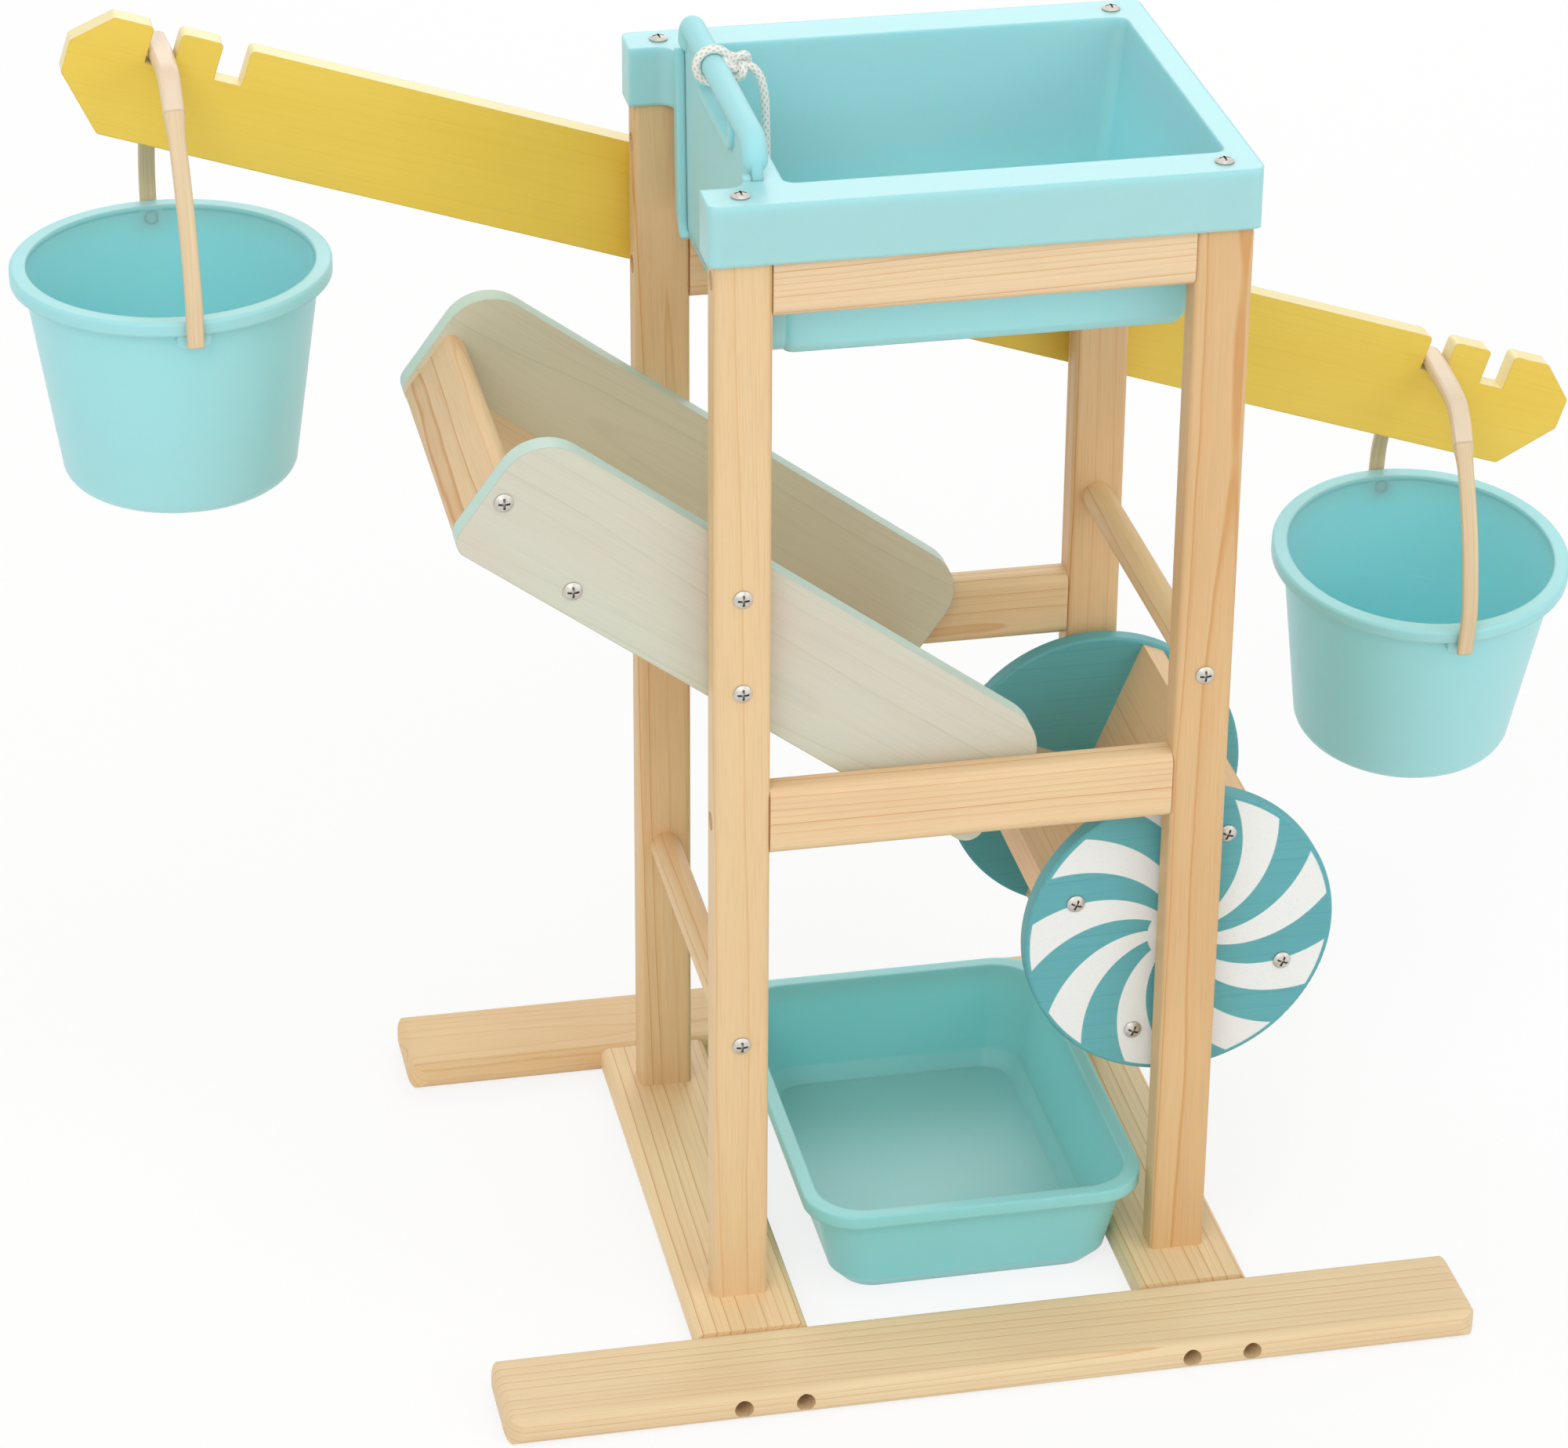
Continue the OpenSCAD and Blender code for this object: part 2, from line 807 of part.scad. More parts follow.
module gate_cord() {
    color(cord_white)
        skin([
            for (i = [0:len(cord_route) - 1])
                ring_at(cord_route[i], path_dir(cord_route, i), cord_d / 2, cord_sides)
        ]);
}

module cord_end_knot() {
    last = cord_route[len(cord_route) - 1];
    color(cord_white)
        translate(last + path_dir(cord_route, len(cord_route) - 1) * end_knot_d / 2)
            sphere(d = end_knot_d);
}

// Side board seen square to the chute
module chute_side_outline() {
    t = chute_top_r;
    b = chute_bottom_r;
    translate([chute_s0, chute_n0]) {
        translate([b, 0])
            square([chute_l - 2 * b, chute_h - t]);
        translate([t, chute_h - t])
            square([chute_l - 2 * t, t]);
        translate([0, b])
            square([chute_l, chute_h - t - b]);
        for (end = [0, 1]) {
            translate([end * chute_l + (1 - 2 * end) * b, b])
                circle(b);
            translate([end * chute_l + (1 - 2 * end) * t, chute_h - t])
                circle(t);
        }
    }
}

// Extrudes an outline on the tilted chute from one y to another
module on_chute_plane(y0, y1) {
    translate([0, y1, 0])
        rotate([0, chute_tilt, 0])
            rotate([90, 0, 0])
                linear_extrude(height = y1 - y0)
                    children();
}

// Places what follows at the screws in the faces of the side boards
module at_chute_screws() {
    for (side = [-1, 1], place = [
        chute_point(end_board_s + chute_t / 2, end_screw_n),
        chute_point(floor_screw_s, floor_n)
    ])
        translate([
            place[0],
            side < 0 ? chute_front_y - chute_t / 2 : chute_rear_y + chute_t / 2,
            place[1]
        ])
            rotate([-side * 90, 0, 0])
                children();
}

module chute_side(side) {
    y = side < 0 ? chute_front_y : chute_rear_y;
    color(pale_stain)
        difference() {
            on_chute_plane(y - chute_t / 2, y + chute_t / 2)
                chute_side_outline();
            at_frame_screws()
                screw_hole(frame_screw_l);
            at_chute_screws()
                screw_hole(chute_screw_l);
        }
}

module chute_floor() {
    y0 = chute_front_y + chute_t / 2;
    color(pine)
        difference() {
            on_chute_plane(y0, y0 + chute_inner_w)
                translate([end_board_s + chute_t, floor_n - chute_t / 2])
                    square([chute_floor_l, chute_t]);
            at_chute_screws()
                screw_hole(chute_screw_l);
        }
}

module chute_end_board() {
    y0 = chute_front_y + chute_t / 2;
    color(pine)
        difference() {
            on_chute_plane(y0, y0 + chute_inner_w)
                translate([end_board_s, chute_n0])
                    translate([chute_t / 2, end_board_h / 2])
                        round_rect(chute_t, end_board_h, end_board_r);
            at_chute_screws()
                screw_hole(chute_screw_l);
        }
}

module chute_screws() {
    color(steel)
        at_chute_screws()
            screw(chute_screw_l);
}

// Turns a shape made about Z so that it lies about the wheel axle
module on_wheel() {
    translate([wheel_x, tower_back, wheel_z])
        rotate([90, 0, 0])
            children();
}

// Places what follows at the disc screws, on the outer face of one disc
module at_disc_screws(side) {
    for (k = [0:paddle_n - 1])
        rotate(paddle_turn + k * 360 / paddle_n)
            translate([disc_screw_pitch, 0, -side * (disc_y + disc_t / 2)])
                rotate([side > 0 ? 180 : 0, 0, 0])
                    children();
}

module wheel_disc(side) {
    color(teal)
        on_wheel()
            difference() {
                translate([0, 0, -side * disc_y])
                    rotate_extrude()
                        intersection() {
                            round_rect(wheel_d, disc_t, disc_edge_r);
                            translate([0, -disc_t])
                                square([wheel_d, 2 * disc_t]);
                        }
                cylinder(h = 3 * disc_y, r = axle_d / 2 + run_gap, center = true);
                at_disc_screws(side)
                    screw_hole(disc_screw_l);
            }
}

module paddle(k) {
    color(pine)
        on_wheel()
            difference() {
                rotate(paddle_turn + k * 360 / paddle_n)
                    translate([paddle_in + paddle_l / 2, 0, 0])
                        cube([paddle_l, paddle_t, paddle_w], center = true);
                for (side = [-1, 1])
                    at_disc_screws(side)
                        screw_hole(disc_screw_l);
            }
}

module disc_screws() {
    color(steel)
        on_wheel()
            for (side = [-1, 1])
                at_disc_screws(side)
                    screw(disc_screw_l);
}

module wheel_axle() {
    color(steel)
        on_wheel()
            cylinder(h = 2 * (post_inner_y + axle_seat), d = axle_d, center = true);
}

module wheel_spacers() {
    color(pine)
        on_wheel()
            for (side = [-1, 1])
                translate([0, 0, side * (disc_y + disc_t / 2 + (wheel_gap - body_gap) / 2)])
                    difference() {
                        cylinder(h = wheel_gap - body_gap, d = spacer_d, center = true);
                        cylinder(h = 2 * wheel_gap, r = axle_d / 2 + run_gap, center = true);
                    }
}

// Turns a shape made about Z so that it lies about the beam pivot
module at_beam_pivot() {
    translate([beam_pivot_x, 0, beam_pivot_z])
        rotate([90, 0, 0])
            children();
}

// Beam seen from the front, about its middle
module beam_outline() {
    half = beam_l / 2;
    top = beam_h / 2;
    offset(r = beam_corner_r)
        offset(delta = -beam_corner_r)
            difference() {
                polygon([
                    [half - end_chamfer, top], [half, beam_h * end_top_share],
                    [half, -beam_h * end_low_share], [half - low_chamfer, -top],
                    [low_chamfer - half, -top], [-half, -beam_h * end_low_share],
                    [-half, beam_h * end_top_share], [end_chamfer - half, top]
                ]);
                for (s = [inner_notch_s, outer_notch_s], side = [-1, 1])
                    translate([side * s - notch_w / 2, top - notch_deep])
                        square([notch_w, notch_deep + cut]);
            }
}

module beam() {
    color(yellow)
        translate([beam_pivot_x, beam_y, beam_pivot_z])
            rotate([0, beam_tilt, 0])
                rotate([90, 0, 0])
                    difference() {
                        linear_extrude(height = beam_t, center = true)
                            translate([0, -beam_pivot_up])
                                beam_outline();
                        cylinder(h = 2 * beam_t, r = bolt_d / 2 + run_gap, center = true);
                    }
}

module beam_bolt() {
    head_y = tower_back + post_inner_y;
    end_y = beam_y + beam_t / 2 + body_gap + washer_t + nut_t + cut;
    color(steel) {
        translate([0, end_y, 0])
            at_beam_pivot()
                cylinder(h = end_y - head_y, d = bolt_d);
        translate([0, head_y, 0])
            at_beam_pivot()
                intersection() {
                    cylinder(h = bolt_head_h, d = bolt_head_d);
                    translate([0, 0, bolt_head_h - bolt_head_d])
                        sphere(bolt_head_d);
                }
    }
}

// Ring on the pivot bolt between two distances behind the middle of the feet
module ring_on_bolt(y0, y1, outer_d) {
    translate([0, y1, 0])
        at_beam_pivot()
            difference() {
                cylinder(h = y1 - y0, d = outer_d);
                translate([0, 0, -cut])
                    cylinder(h = y1 - y0 + 2 * cut, r = bolt_d / 2 + run_gap);
            }
}

module beam_spacer() {
    rail_y = tower_back + post_face_y;
    color(pine)
        ring_on_bolt(rail_y, rail_y + beam_gap - body_gap, spacer_d);
}

module beam_washer() {
    back_y = beam_y + beam_t / 2 + body_gap;
    color(steel)
        ring_on_bolt(back_y, back_y + washer_t, washer_d);
}

module beam_nut() {
    back_y = beam_y + beam_t / 2 + body_gap + washer_t;
    color(steel)
        ring_on_bolt(back_y, back_y + nut_t, nut_d);
}

// Side of a bucket from its axis out, outside first and then inside
module bucket_profile() {
    r_top = bucket_top_d / 2;
    r_low = bucket_bottom_d / 2;
    r = bucket_edge_r;
    w = bucket_wall;
    h = bucket_h;
    arc = [for (a = [0:15:90]) [sin(a), cos(a)]];
    polygon(concat(
        [[0, -h]],
        [for (p = arc) [r_low - r + r * p[0], -h + r - r * p[1]]],
        [
            [r_top, -bucket_lip_t], [bucket_d / 2 - w, -bucket_lip_t],
            [bucket_d / 2 - w, -bucket_rim_h], [bucket_d / 2, -bucket_rim_h],
            [bucket_d / 2, -w / 2], [bucket_d / 2 - w / 2, 0], [r_top - w, 0]
        ],
        [for (i = [len(arc) - 1:-1:0]) [r_low - r + (r - w) * arc[i][0], -h + r - (r - w) * arc[i][1]]],
        [[0, -h + w]]
    ));
}

// Bucket about its own axis, with its rim at zero height and its lugs along Y
module bucket_form() {
    difference() {
        union() {
            rotate_extrude()
                bucket_profile();
            for (side = [-1, 1])
                translate([0, side * (bucket_d / 2 - bucket_rim_h / 2 - bucket_wall), -lug_h / 2 - bucket_lip_t / 2])
                    rotate([90, 0, 0])
                        linear_extrude(height = bucket_rim_h + bucket_wall, center = true)
                            round_rect(lug_w, lug_h - bucket_lip_t, lug_corner_r);
        }
        difference() {
            translate([0, 0, -bucket_h / 2])
                cylinder(h = bucket_h, r = bucket_d, center = true);
            cylinder(h = 3 * bucket_h, r = bucket_d / 2, center = true);
        }
        translate([0, 0, -bucket_lip_t - bucket_h / 4])
            cylinder(h = bucket_h / 2, r1 = bucket_r(bucket_lip_t + bucket_h / 2), r2 = bucket_r(bucket_lip_t), center = true);
        rotate([90, 0, 0])
            translate([0, -lug_pin_drop, 0])
                cylinder(h = 2 * bucket_d, r = lug_pin_d / 2 + run_gap, center = true);
    }
}

// Inner radius of the bucket a distance below its rim
function bucket_r(drop) =
    bucket_top_d / 2 - bucket_wall
    - (bucket_top_d - bucket_bottom_d) / 2 * (drop - bucket_lip_t) / (bucket_h - bucket_edge_r - bucket_lip_t);

// Places a bucket and its handle under the left notch
module at_left_hang() {
    translate([left_hang[0], beam_y, left_hang[1] - bail_up])
        rotate(left_yaw)
            children();
}

// Places a bucket and its handle under the right notch, leaning on the shoulder of the handle
module at_right_hang() {
    translate([right_hang[0], beam_y, right_hang[1]])
        rotate([right_lean, 0, 0])
            translate([0, -right_shift, -bail_up * bail_drop_share])
                children();
}

module bucket_left() {
    color(blue_plastic)
        at_left_hang()
            bucket_form();
}

module bucket_right() {
    color(blue_plastic)
        at_right_hang()
            bucket_form();
}

// Section of the handle at a point of its middle line, where the line runs along d
function bail_section(p, d) =
    let (
        along = abs(p[0]),
        t = max(0, min(1, (grip_reach + grip_blend / 2 - along) / grip_blend)),
        spread = min(1, bail_end_share + (1 - bail_end_share) * (grip_reach - along) / grip_reach),
        w = bail_leg_w + (bail_grip_w - bail_leg_w) * t * spread,
        h = bail_leg_t + (bail_grip_t - bail_leg_t) * t,
        r = min(w, h) / 2 * bail_corner_share
    )
        [for (corner = [0:3], step = [0:bail_corner_steps - 1])
            let (
                a = 90 * (corner + step / (bail_corner_steps - 1)),
                x = (corner == 0 || corner == 3 ? 1 : -1) * (w / 2 - r) + r * cos(a),
                y = (corner < 2 ? 1 : -1) * (h / 2 - r) + r * sin(a)
            )
                [x, p[0] + y * d[1], p[1] - y * d[0]]
        ];

// Handle about the bucket axis, rim at zero height
module bail_form() {
    n = len(bail_path);
    skin([
        for (i = [0:n - 1])
            let (
                p = bail_path[i],
                v = bail_path[min(i + 1, n - 1)] - bail_path[max(i - 1, 0)],
                d = v / norm(v)
            )
                bail_section(p, d)
    ]);
    for (side = [-1, 1])
        translate([0, side * (leg_r - lug_pin_d / 2), -lug_pin_drop])
            rotate([90, 0, 0])
                cylinder(h = lug_pin_d, d = lug_pin_d, center = true);
}

module handle_left() {
    color(beige)
        at_left_hang()
            bail_form();
}

module handle_right() {
    color(beige)
        at_right_hang()
            bail_form();
}

// One level of the tub, drawn in by an inset, at a height
module tub_level(z, inset) {
    translate([0, 0, z])
        linear_extrude(height = run_gap)
            round_rect(tub_w - 2 * inset, tub_d - 2 * inset, tub_corner_r - inset / 2);
}

// Drafted body of the tub, drawn in by a wall
module tub_body(wall, base_z, top_z) {
    hull() {
        tub_level(top_z, tub_rim_w + wall);
        tub_level(base_z + tub_edge_r, tub_inset - (tub_inset - tub_rim_w) * tub_edge_r / tub_h + wall);
        tub_level(base_z, tub_inset + tub_edge_r * edge_inset_share + wall);
    }
}

module tub() {
    color(blue_plastic)
        translate([tub_x, tub_y, 0])
            difference() {
                union() {
                    tub_body(0, 0, tub_h - run_gap);
                    translate([0, 0, tub_h - tub_rim_t])
                        linear_extrude(height = tub_rim_t)
                            round_rect(tub_w, tub_d, tub_corner_r);
                    translate([0, 0, tub_h - tub_lip_h])
                        linear_extrude(height = tub_lip_h)
                            difference() {
                                round_rect(tub_w, tub_d, tub_corner_r);
                                round_rect(tub_w - 2 * tub_wall, tub_d - 2 * tub_wall, tub_corner_r - tub_wall);
                            }
                }
                tub_body(tub_wall, tub_wall, tub_h + run_gap);
            }
}

foot(-1);  // foot_front
foot(1);  // foot_rear
base_plank(-1);  // base_plank_left
base_plank(1);  // base_plank_right
foot_screws();
post(-1, -1);  // post_front_left
post(1, -1);  // post_front_right
post(-1, 1);  // post_rear_left
post(1, 1);  // post_rear_right
rail(-1, upper_rail_z);  // upper_rail_front
rail(-1, mid_rail_z);  // mid_rail_front
rail(1, top_rear_rail_z);  // top_rail_rear
rail(1, beam_rail_z);  // beam_rail_rear
rail(1, mid_rear_rail_z);  // mid_rail_rear
rail_screws();
dowel(-1, left_dowel_z);  // dowel_left
dowel(1, right_dowel_z);  // dowel_right
frame_screws();
tray();
tray_screws();
gate();
cord_loop();
gate_cord();
cord_end_knot();
chute_side(-1);  // chute_side_front
chute_side(1);  // chute_side_rear
chute_floor();
chute_end_board();
chute_screws();
wheel_disc(-1);  // wheel_disc_front
wheel_disc(1);  // wheel_disc_rear
paddle(0);  // paddle_1
paddle(1);  // paddle_2
paddle(2);  // paddle_3
paddle(3);  // paddle_4
wheel_axle();
wheel_spacers();
disc_screws();
beam();
beam_bolt();
beam_spacer();
beam_washer();
beam_nut();
bucket_left();
bucket_right();
handle_left();
handle_right();
tub();
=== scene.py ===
import json
import math
import random

import bmesh
import bpy
from mathutils import Matrix, Vector, geometry


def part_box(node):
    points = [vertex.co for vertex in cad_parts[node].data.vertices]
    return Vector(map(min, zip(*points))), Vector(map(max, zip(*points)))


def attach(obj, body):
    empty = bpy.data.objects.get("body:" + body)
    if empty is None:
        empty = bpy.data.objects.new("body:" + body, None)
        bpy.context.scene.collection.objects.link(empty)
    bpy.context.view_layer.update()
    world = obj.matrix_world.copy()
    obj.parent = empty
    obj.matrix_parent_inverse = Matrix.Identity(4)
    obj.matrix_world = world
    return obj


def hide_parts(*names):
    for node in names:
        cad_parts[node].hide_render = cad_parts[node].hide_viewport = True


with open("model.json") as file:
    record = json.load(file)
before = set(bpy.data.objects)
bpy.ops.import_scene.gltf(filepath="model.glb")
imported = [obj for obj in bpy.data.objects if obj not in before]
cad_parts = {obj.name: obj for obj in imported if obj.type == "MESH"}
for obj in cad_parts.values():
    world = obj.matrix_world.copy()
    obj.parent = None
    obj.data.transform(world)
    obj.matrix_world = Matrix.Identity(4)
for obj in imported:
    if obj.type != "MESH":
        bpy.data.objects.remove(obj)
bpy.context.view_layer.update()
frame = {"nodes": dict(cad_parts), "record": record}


camera = {                     # fitted to the photograph
    "place": (-0.55478, -2.30296, 1.53211),
    "azimuth": -11.847,        # degrees, turned from looking along +Y
    "elevation": 27.958,       # degrees above the level
    "roll": 0.4211,
    "lens": 121.01,            # mm
    "sensor": 36,
}


def makeCamera():
    turn, tip, roll = (math.radians(camera[k]) for k in ("azimuth", "elevation", "roll"))
    look = Vector((-math.sin(turn) * math.cos(tip), math.cos(turn) * math.cos(tip), -math.sin(tip)))
    right = Vector((math.cos(turn), math.sin(turn), 0))
    up = right.cross(look)
    rolledRight = right * math.cos(roll) + up * math.sin(roll)
    rolledUp = up * math.cos(roll) - right * math.sin(roll)
    data = bpy.data.cameras.new("camera")
    data.sensor_fit = "HORIZONTAL"
    data.sensor_width = camera["sensor"]
    data.lens = camera["lens"]
    data.clip_end = 60
    holder = bpy.data.objects.new("camera", data)
    axes = Matrix((rolledRight, rolledUp, -look)).transposed().to_4x4()
    holder.matrix_world = Matrix.Translation(camera["place"]) @ axes
    bpy.context.scene.collection.objects.link(holder)
    bpy.context.scene.camera = holder


makeCamera()


def linear(hexColour):
    # sRGB hex to the linear values that a shader takes
    parts = [int(hexColour[i:i + 2], 16) / 255 for i in (1, 3, 5)]
    return (*(p / 12.92 if p <= 0.04045 else ((p + 0.055) / 1.055) ** 2.4 for p in parts), 1)


def addNode(tree, kind, inputs, out=0, stops=(), **settings):
    # adds a shader node with its settings, links and ramp stops, and gives one of its outputs
    node = tree.nodes.new("ShaderNode" + kind)
    for key, value in settings.items():
        setattr(node, key, value)
    for key, value in inputs.items():
        if isinstance(value, bpy.types.NodeSocket):
            tree.links.new(value, node.inputs[key])
        else:
            node.inputs[key].default_value = value
    for i, (place, value) in enumerate(stops):
        element = node.color_ramp.elements[i] if i < 2 else node.color_ramp.elements.new(place)
        element.position = place
        element.color = value if isinstance(value, tuple) else (value, value, value, 1)
    return node.outputs[out]


def newMaterial(name, **surface):
    # a material with its Principled shader, whose fixed numbers are set on its own sockets
    material = bpy.data.materials.new(name)
    material.use_nodes = True
    tree = material.node_tree
    shader = tree.nodes["Principled BSDF"]
    for key, value in surface.items():
        shader.inputs[key.replace("_", " ")].default_value = value
    return material, tree, shader


def dress(material, *nodes):
    # gives a material to CAD nodes or new pieces
    for node in nodes:
        piece = frame["nodes"][node] if isinstance(node, str) else node
        piece.data.materials.clear()
        piece.data.materials.append(material)


cordSizes = {                  # metres
    "diameter": 0.0044,
    "strandTurn": 0.0038,      # length of one diamond of the braid
    "strandsRound": 5,
    "press": 0.1,              # how far a strand dips under its neighbour, as a share
    "sides": 30,
    "step": 0.0007,            # between two rings of corners
    "gripPlace": (-0.1035, 0.023, 0.630),
    "gripLoop": 0.0083,        # radius of the loop round the grip bar
    "knotPlace": (-0.0925, 0.023, 0.630),
    "knotSize": 0.0021,
    "endKnotSize": 0.0019,
}
cordRoute = [                  # mm, from the knot at the bar down the inside of the tray and along its floor
    (-89, 23, 629.5), (-86.5, 22.9, 629), (-84, 22.7, 627.4), (-81.8, 22.5, 624.6), (-80.2, 22.3, 620.5),
    (-79.1, 22.2, 615), (-78.5, 22.1, 607.5), (-78.2, 22, 598), (-78, 22, 587), (-77.9, 22, 575),
    (-77.7, 22, 563), (-77.2, 22, 552), (-76, 22, 542), (-73.2, 22, 534), (-68.5, 22, 528.8),
    (-61.5, 21.6, 526.6), (-53, 20.6, 526.2), (-44.5, 18.6, 526.2), (-36.5, 15.6, 526.6), (-29.5, 11.8, 527.7),
]


def smoothLine(points, step, closed=False):
    # evenly spaced points on a smooth curve through the given ones
    count = len(points)
    spans = count if closed else count - 1
    line = []
    for i in range(spans):
        a, b = points[i], points[(i + 1) % count]
        before = points[i - 1] if closed or i else a
        after = points[(i + 2) % count] if closed or i + 2 < count else b
        pieces = max(2, round((b - a).length / step))
        line += geometry.interpolate_bezier(a, a + (b - before) / 6, b - (after - a) / 6, b, pieces + 1)[:-1]
    if not closed:
        line.append(points[-1])
    return line


def braidTube(bm, points, closed=False):
    # pushes a ring of corners along the line, and presses it in where a strand dips under
    sizes = cordSizes
    line = smoothLine(points, sizes["step"], closed)
    level = bm.verts.layers.float["braid"]
    sides = sizes["sides"]
    count = len(line)
    heading = (line[1] - line[0]).normalized()
    side = heading.orthogonal().normalized()
    rings, run = [], 0
    for i, point in enumerate(line):
        ahead = line[(i + 1) % count] if closed or i + 1 < count else point
        behind = line[i - 1] if closed or i else point
        newHeading = (ahead - behind).normalized()
        side.rotate(heading.rotation_difference(newHeading))
        heading = newHeading
        up = heading.cross(side)
        if i:
            run += (point - line[i - 1]).length
        if not rings:
            ring = bmesh.ops.create_circle(bm, segments=sides, radius=1)["verts"]
            edges = list({edge for vert in ring for edge in vert.link_edges})
        else:
            grown = bmesh.ops.extrude_edge_only(bm, edges=edges)["geom"]
            edges = [g for g in grown if isinstance(g, bmesh.types.BMEdge)
                     and all(v in grown for v in g.verts) and len(g.link_faces) == 1]
            ring = [next(e.other_vert(v) for e in v.link_edges if e.other_vert(v) in grown) for v in rings[-1]]
        for k, vert in enumerate(ring):
            around = k / sides
            turns = sizes["strandsRound"] * around
            along = run / sizes["strandTurn"]
            height = max(math.cos(math.tau * (turns + along)), math.cos(math.tau * (turns - along)))
            radius = sizes["diameter"] / 2 * (1 - sizes["press"] * (1 - height) / 2)
            angle = math.tau * around
            vert.co = point + (side * math.cos(angle) + up * math.sin(angle)) * radius
            vert[level] = height / 2 + 0.5
        rings.append(ring)
    if closed:
        ends = [e for ring in (rings[0], rings[-1]) for v in ring for e in v.link_edges if e.is_boundary]
        bmesh.ops.bridge_loops(bm, edges=list(set(ends)))
    else:
        for ring in (rings[0], rings[-1]):
            bmesh.ops.contextual_create(bm, geom=ring)
    return line


def finishMesh(name, bm, body, angle=None):
    # turns a bmesh into a piece that rides on a body, with its faces in the same order on each run
    bmesh.ops.recalc_face_normals(bm, faces=bm.faces)
    bm.verts.index_update()
    for i, face in enumerate(sorted(bm.faces, key=lambda f: sorted(v.index for v in f.verts))):
        face.index = i
    bm.faces.sort()
    mesh = bpy.data.meshes.new(name)
    bm.to_mesh(mesh)
    bm.free()
    mesh.shade_smooth()
    if angle is not None:
        mesh.set_sharp_from_angle(angle=math.radians(angle))
    piece = bpy.data.objects.new(name, mesh)
    bpy.context.scene.collection.objects.link(piece)
    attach(piece, body)
    return piece


def startBraid():
    bm = bmesh.new()
    bm.verts.layers.float.new("braid")
    return bm


def overhandKnot(place, size, tilt):
    # centre line of a tight overhand knot
    points = []
    for k in range(24):
        t = math.tau * k / 24
        p = Vector((math.sin(t) + 2 * math.sin(2 * t), math.cos(t) - 2 * math.cos(2 * t), -1.2 * math.sin(3 * t)))
        p.rotate(Matrix.Rotation(math.radians(tilt), 3, "X"))
        points.append(Vector(place) + p * size)
    return points


def makeCord():
    sizes = cordSizes
    route = [Vector(p) / 1000 for p in cordRoute]
    bm = startBraid()
    line = braidTube(bm, route)
    gateCord = finishMesh("gateCord", bm, "gate")
    bm = startBraid()
    centre = Vector(sizes["gripPlace"])
    loop = [centre + Vector((math.cos(a), 0.1 * math.sin(a / 2), math.sin(a))) * sizes["gripLoop"]
            for a in (math.tau * k / 20 for k in range(20))]
    braidTube(bm, loop, closed=True)
    braidTube(bm, overhandKnot(sizes["knotPlace"], sizes["knotSize"], 70), closed=True)
    cordLoop = finishMesh("cordLoop", bm, "gate")
    bm = startBraid()
    braidTube(bm, overhandKnot(route[-1], sizes["endKnotSize"], 20), closed=True)
    endKnot = finishMesh("cordEndKnot", bm, "gate")
    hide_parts("gate_cord")
    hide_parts("cord_loop")
    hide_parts("cord_end_knot")
    return gateCord, cordLoop, endKnot


cordPieces = makeCord()

boardTurns = {                 # turns that lay the length of a board along x
    "x": (0, 0, 0),
    "y": (0, 0, -math.pi / 2),
    "z": (0, math.pi / 2, 0),
    "chute": (0, -math.radians(36.3), 0),
    "beam": (0, -math.radians(18.25), 0),
}
planedPine = {
    "pale": "#EACB9D",         # soft pale wood between the rings
    "rosy": "#E5BF94",         # broad warmer stretches
    "line": "#CC8F4D",         # thin late wood, orange brown
    "ring": 5.2,               # mm between year rings
    "wander": 7,               # mm that the rings stray along a board
    "fibre": 0.6,              # mm, coarser than real fibres so that they show
    "contrast": 0.6,
    "grain": 0.9,
    "roughness": 0.5,
    "soften": 0,
}
paleStain = {                  # thin grey green stain over pine
    "pale": "#CBD2BF",
    "rosy": "#D1C9B9",
    "line": "#B1B798",
    "ring": 5,
    "wander": 12,
    "fibre": 0.6,
    "contrast": 0.35,
    "grain": 0.6,
    "roughness": 0.45,
    "soften": 1,
    "edge": "#C4E0D6",
    "edgeShare": 0.8,
}
tealStain = {                  # strong blue green stain, the wood just shows through
    "pale": "#5FAEB2",
    "rosy": "#58A6AC",
    "line": "#3F8C96",
    "ring": 4,
    "wander": 9,
    "fibre": 0.5,
    "contrast": 0.4,
    "grain": 0.7,
    "roughness": 0.42,
    "soften": 1.5,
    "edge": "#56A5AC",
    "edgeShare": 0.5,
}
yellowStain = {                # strong yellow stain; its narrow faces paler, worn stain with a painted highlight where the light catches the top edge
    "pale": "#ECCC52",
    "rosy": "#E9C648",
    "line": "#DDB43C",
    "ring": 5,
    "wander": 9,
    "fibre": 0.6,
    "contrast": 0.25,
    "grain": 0.4,
    "roughness": 0.42,
    "soften": 1,
    "edge": "#F8EDBC",
    "edgeShare": 0.75,
}
boardPattern = {               # what all boards share; pairs are the stops of a ramp
    "tint": (0.985, 1.012),    # small differences in colour between boards
    "heartAway": (14, 34),     # mm from the middle of a board to the heart of its log
    "leanMost": 0.7,           # degrees between a log and its board
    "alongMost": 9,            # m, so that no two boards show the same stretch
    "patches": (3, 11, 11),    # per m, long along the board
    "patchShare": 1.7,
    "warm": ((0.3, 0.0), (0.72, 1.0)),
    "year": ((0, 0.0), (0.55, 0.05), (0.86, 0.25), (0.94, 1.0), (0.965, 1.0), (1, 0.0)),
    "strength": ((0, 0.06), (0.5, 0.3), (0.8, 1.0)),
    "streakLength": 90,        # a fibre streak is so many times longer than it is wide
    "streakGrey": ((0.25, 0.86), (0.5, 0.97), (0.75, 1.0)),
    "ringDip": -0.3,           # the late wood lies a little lower
    "relief": 0.2,             # mm
}
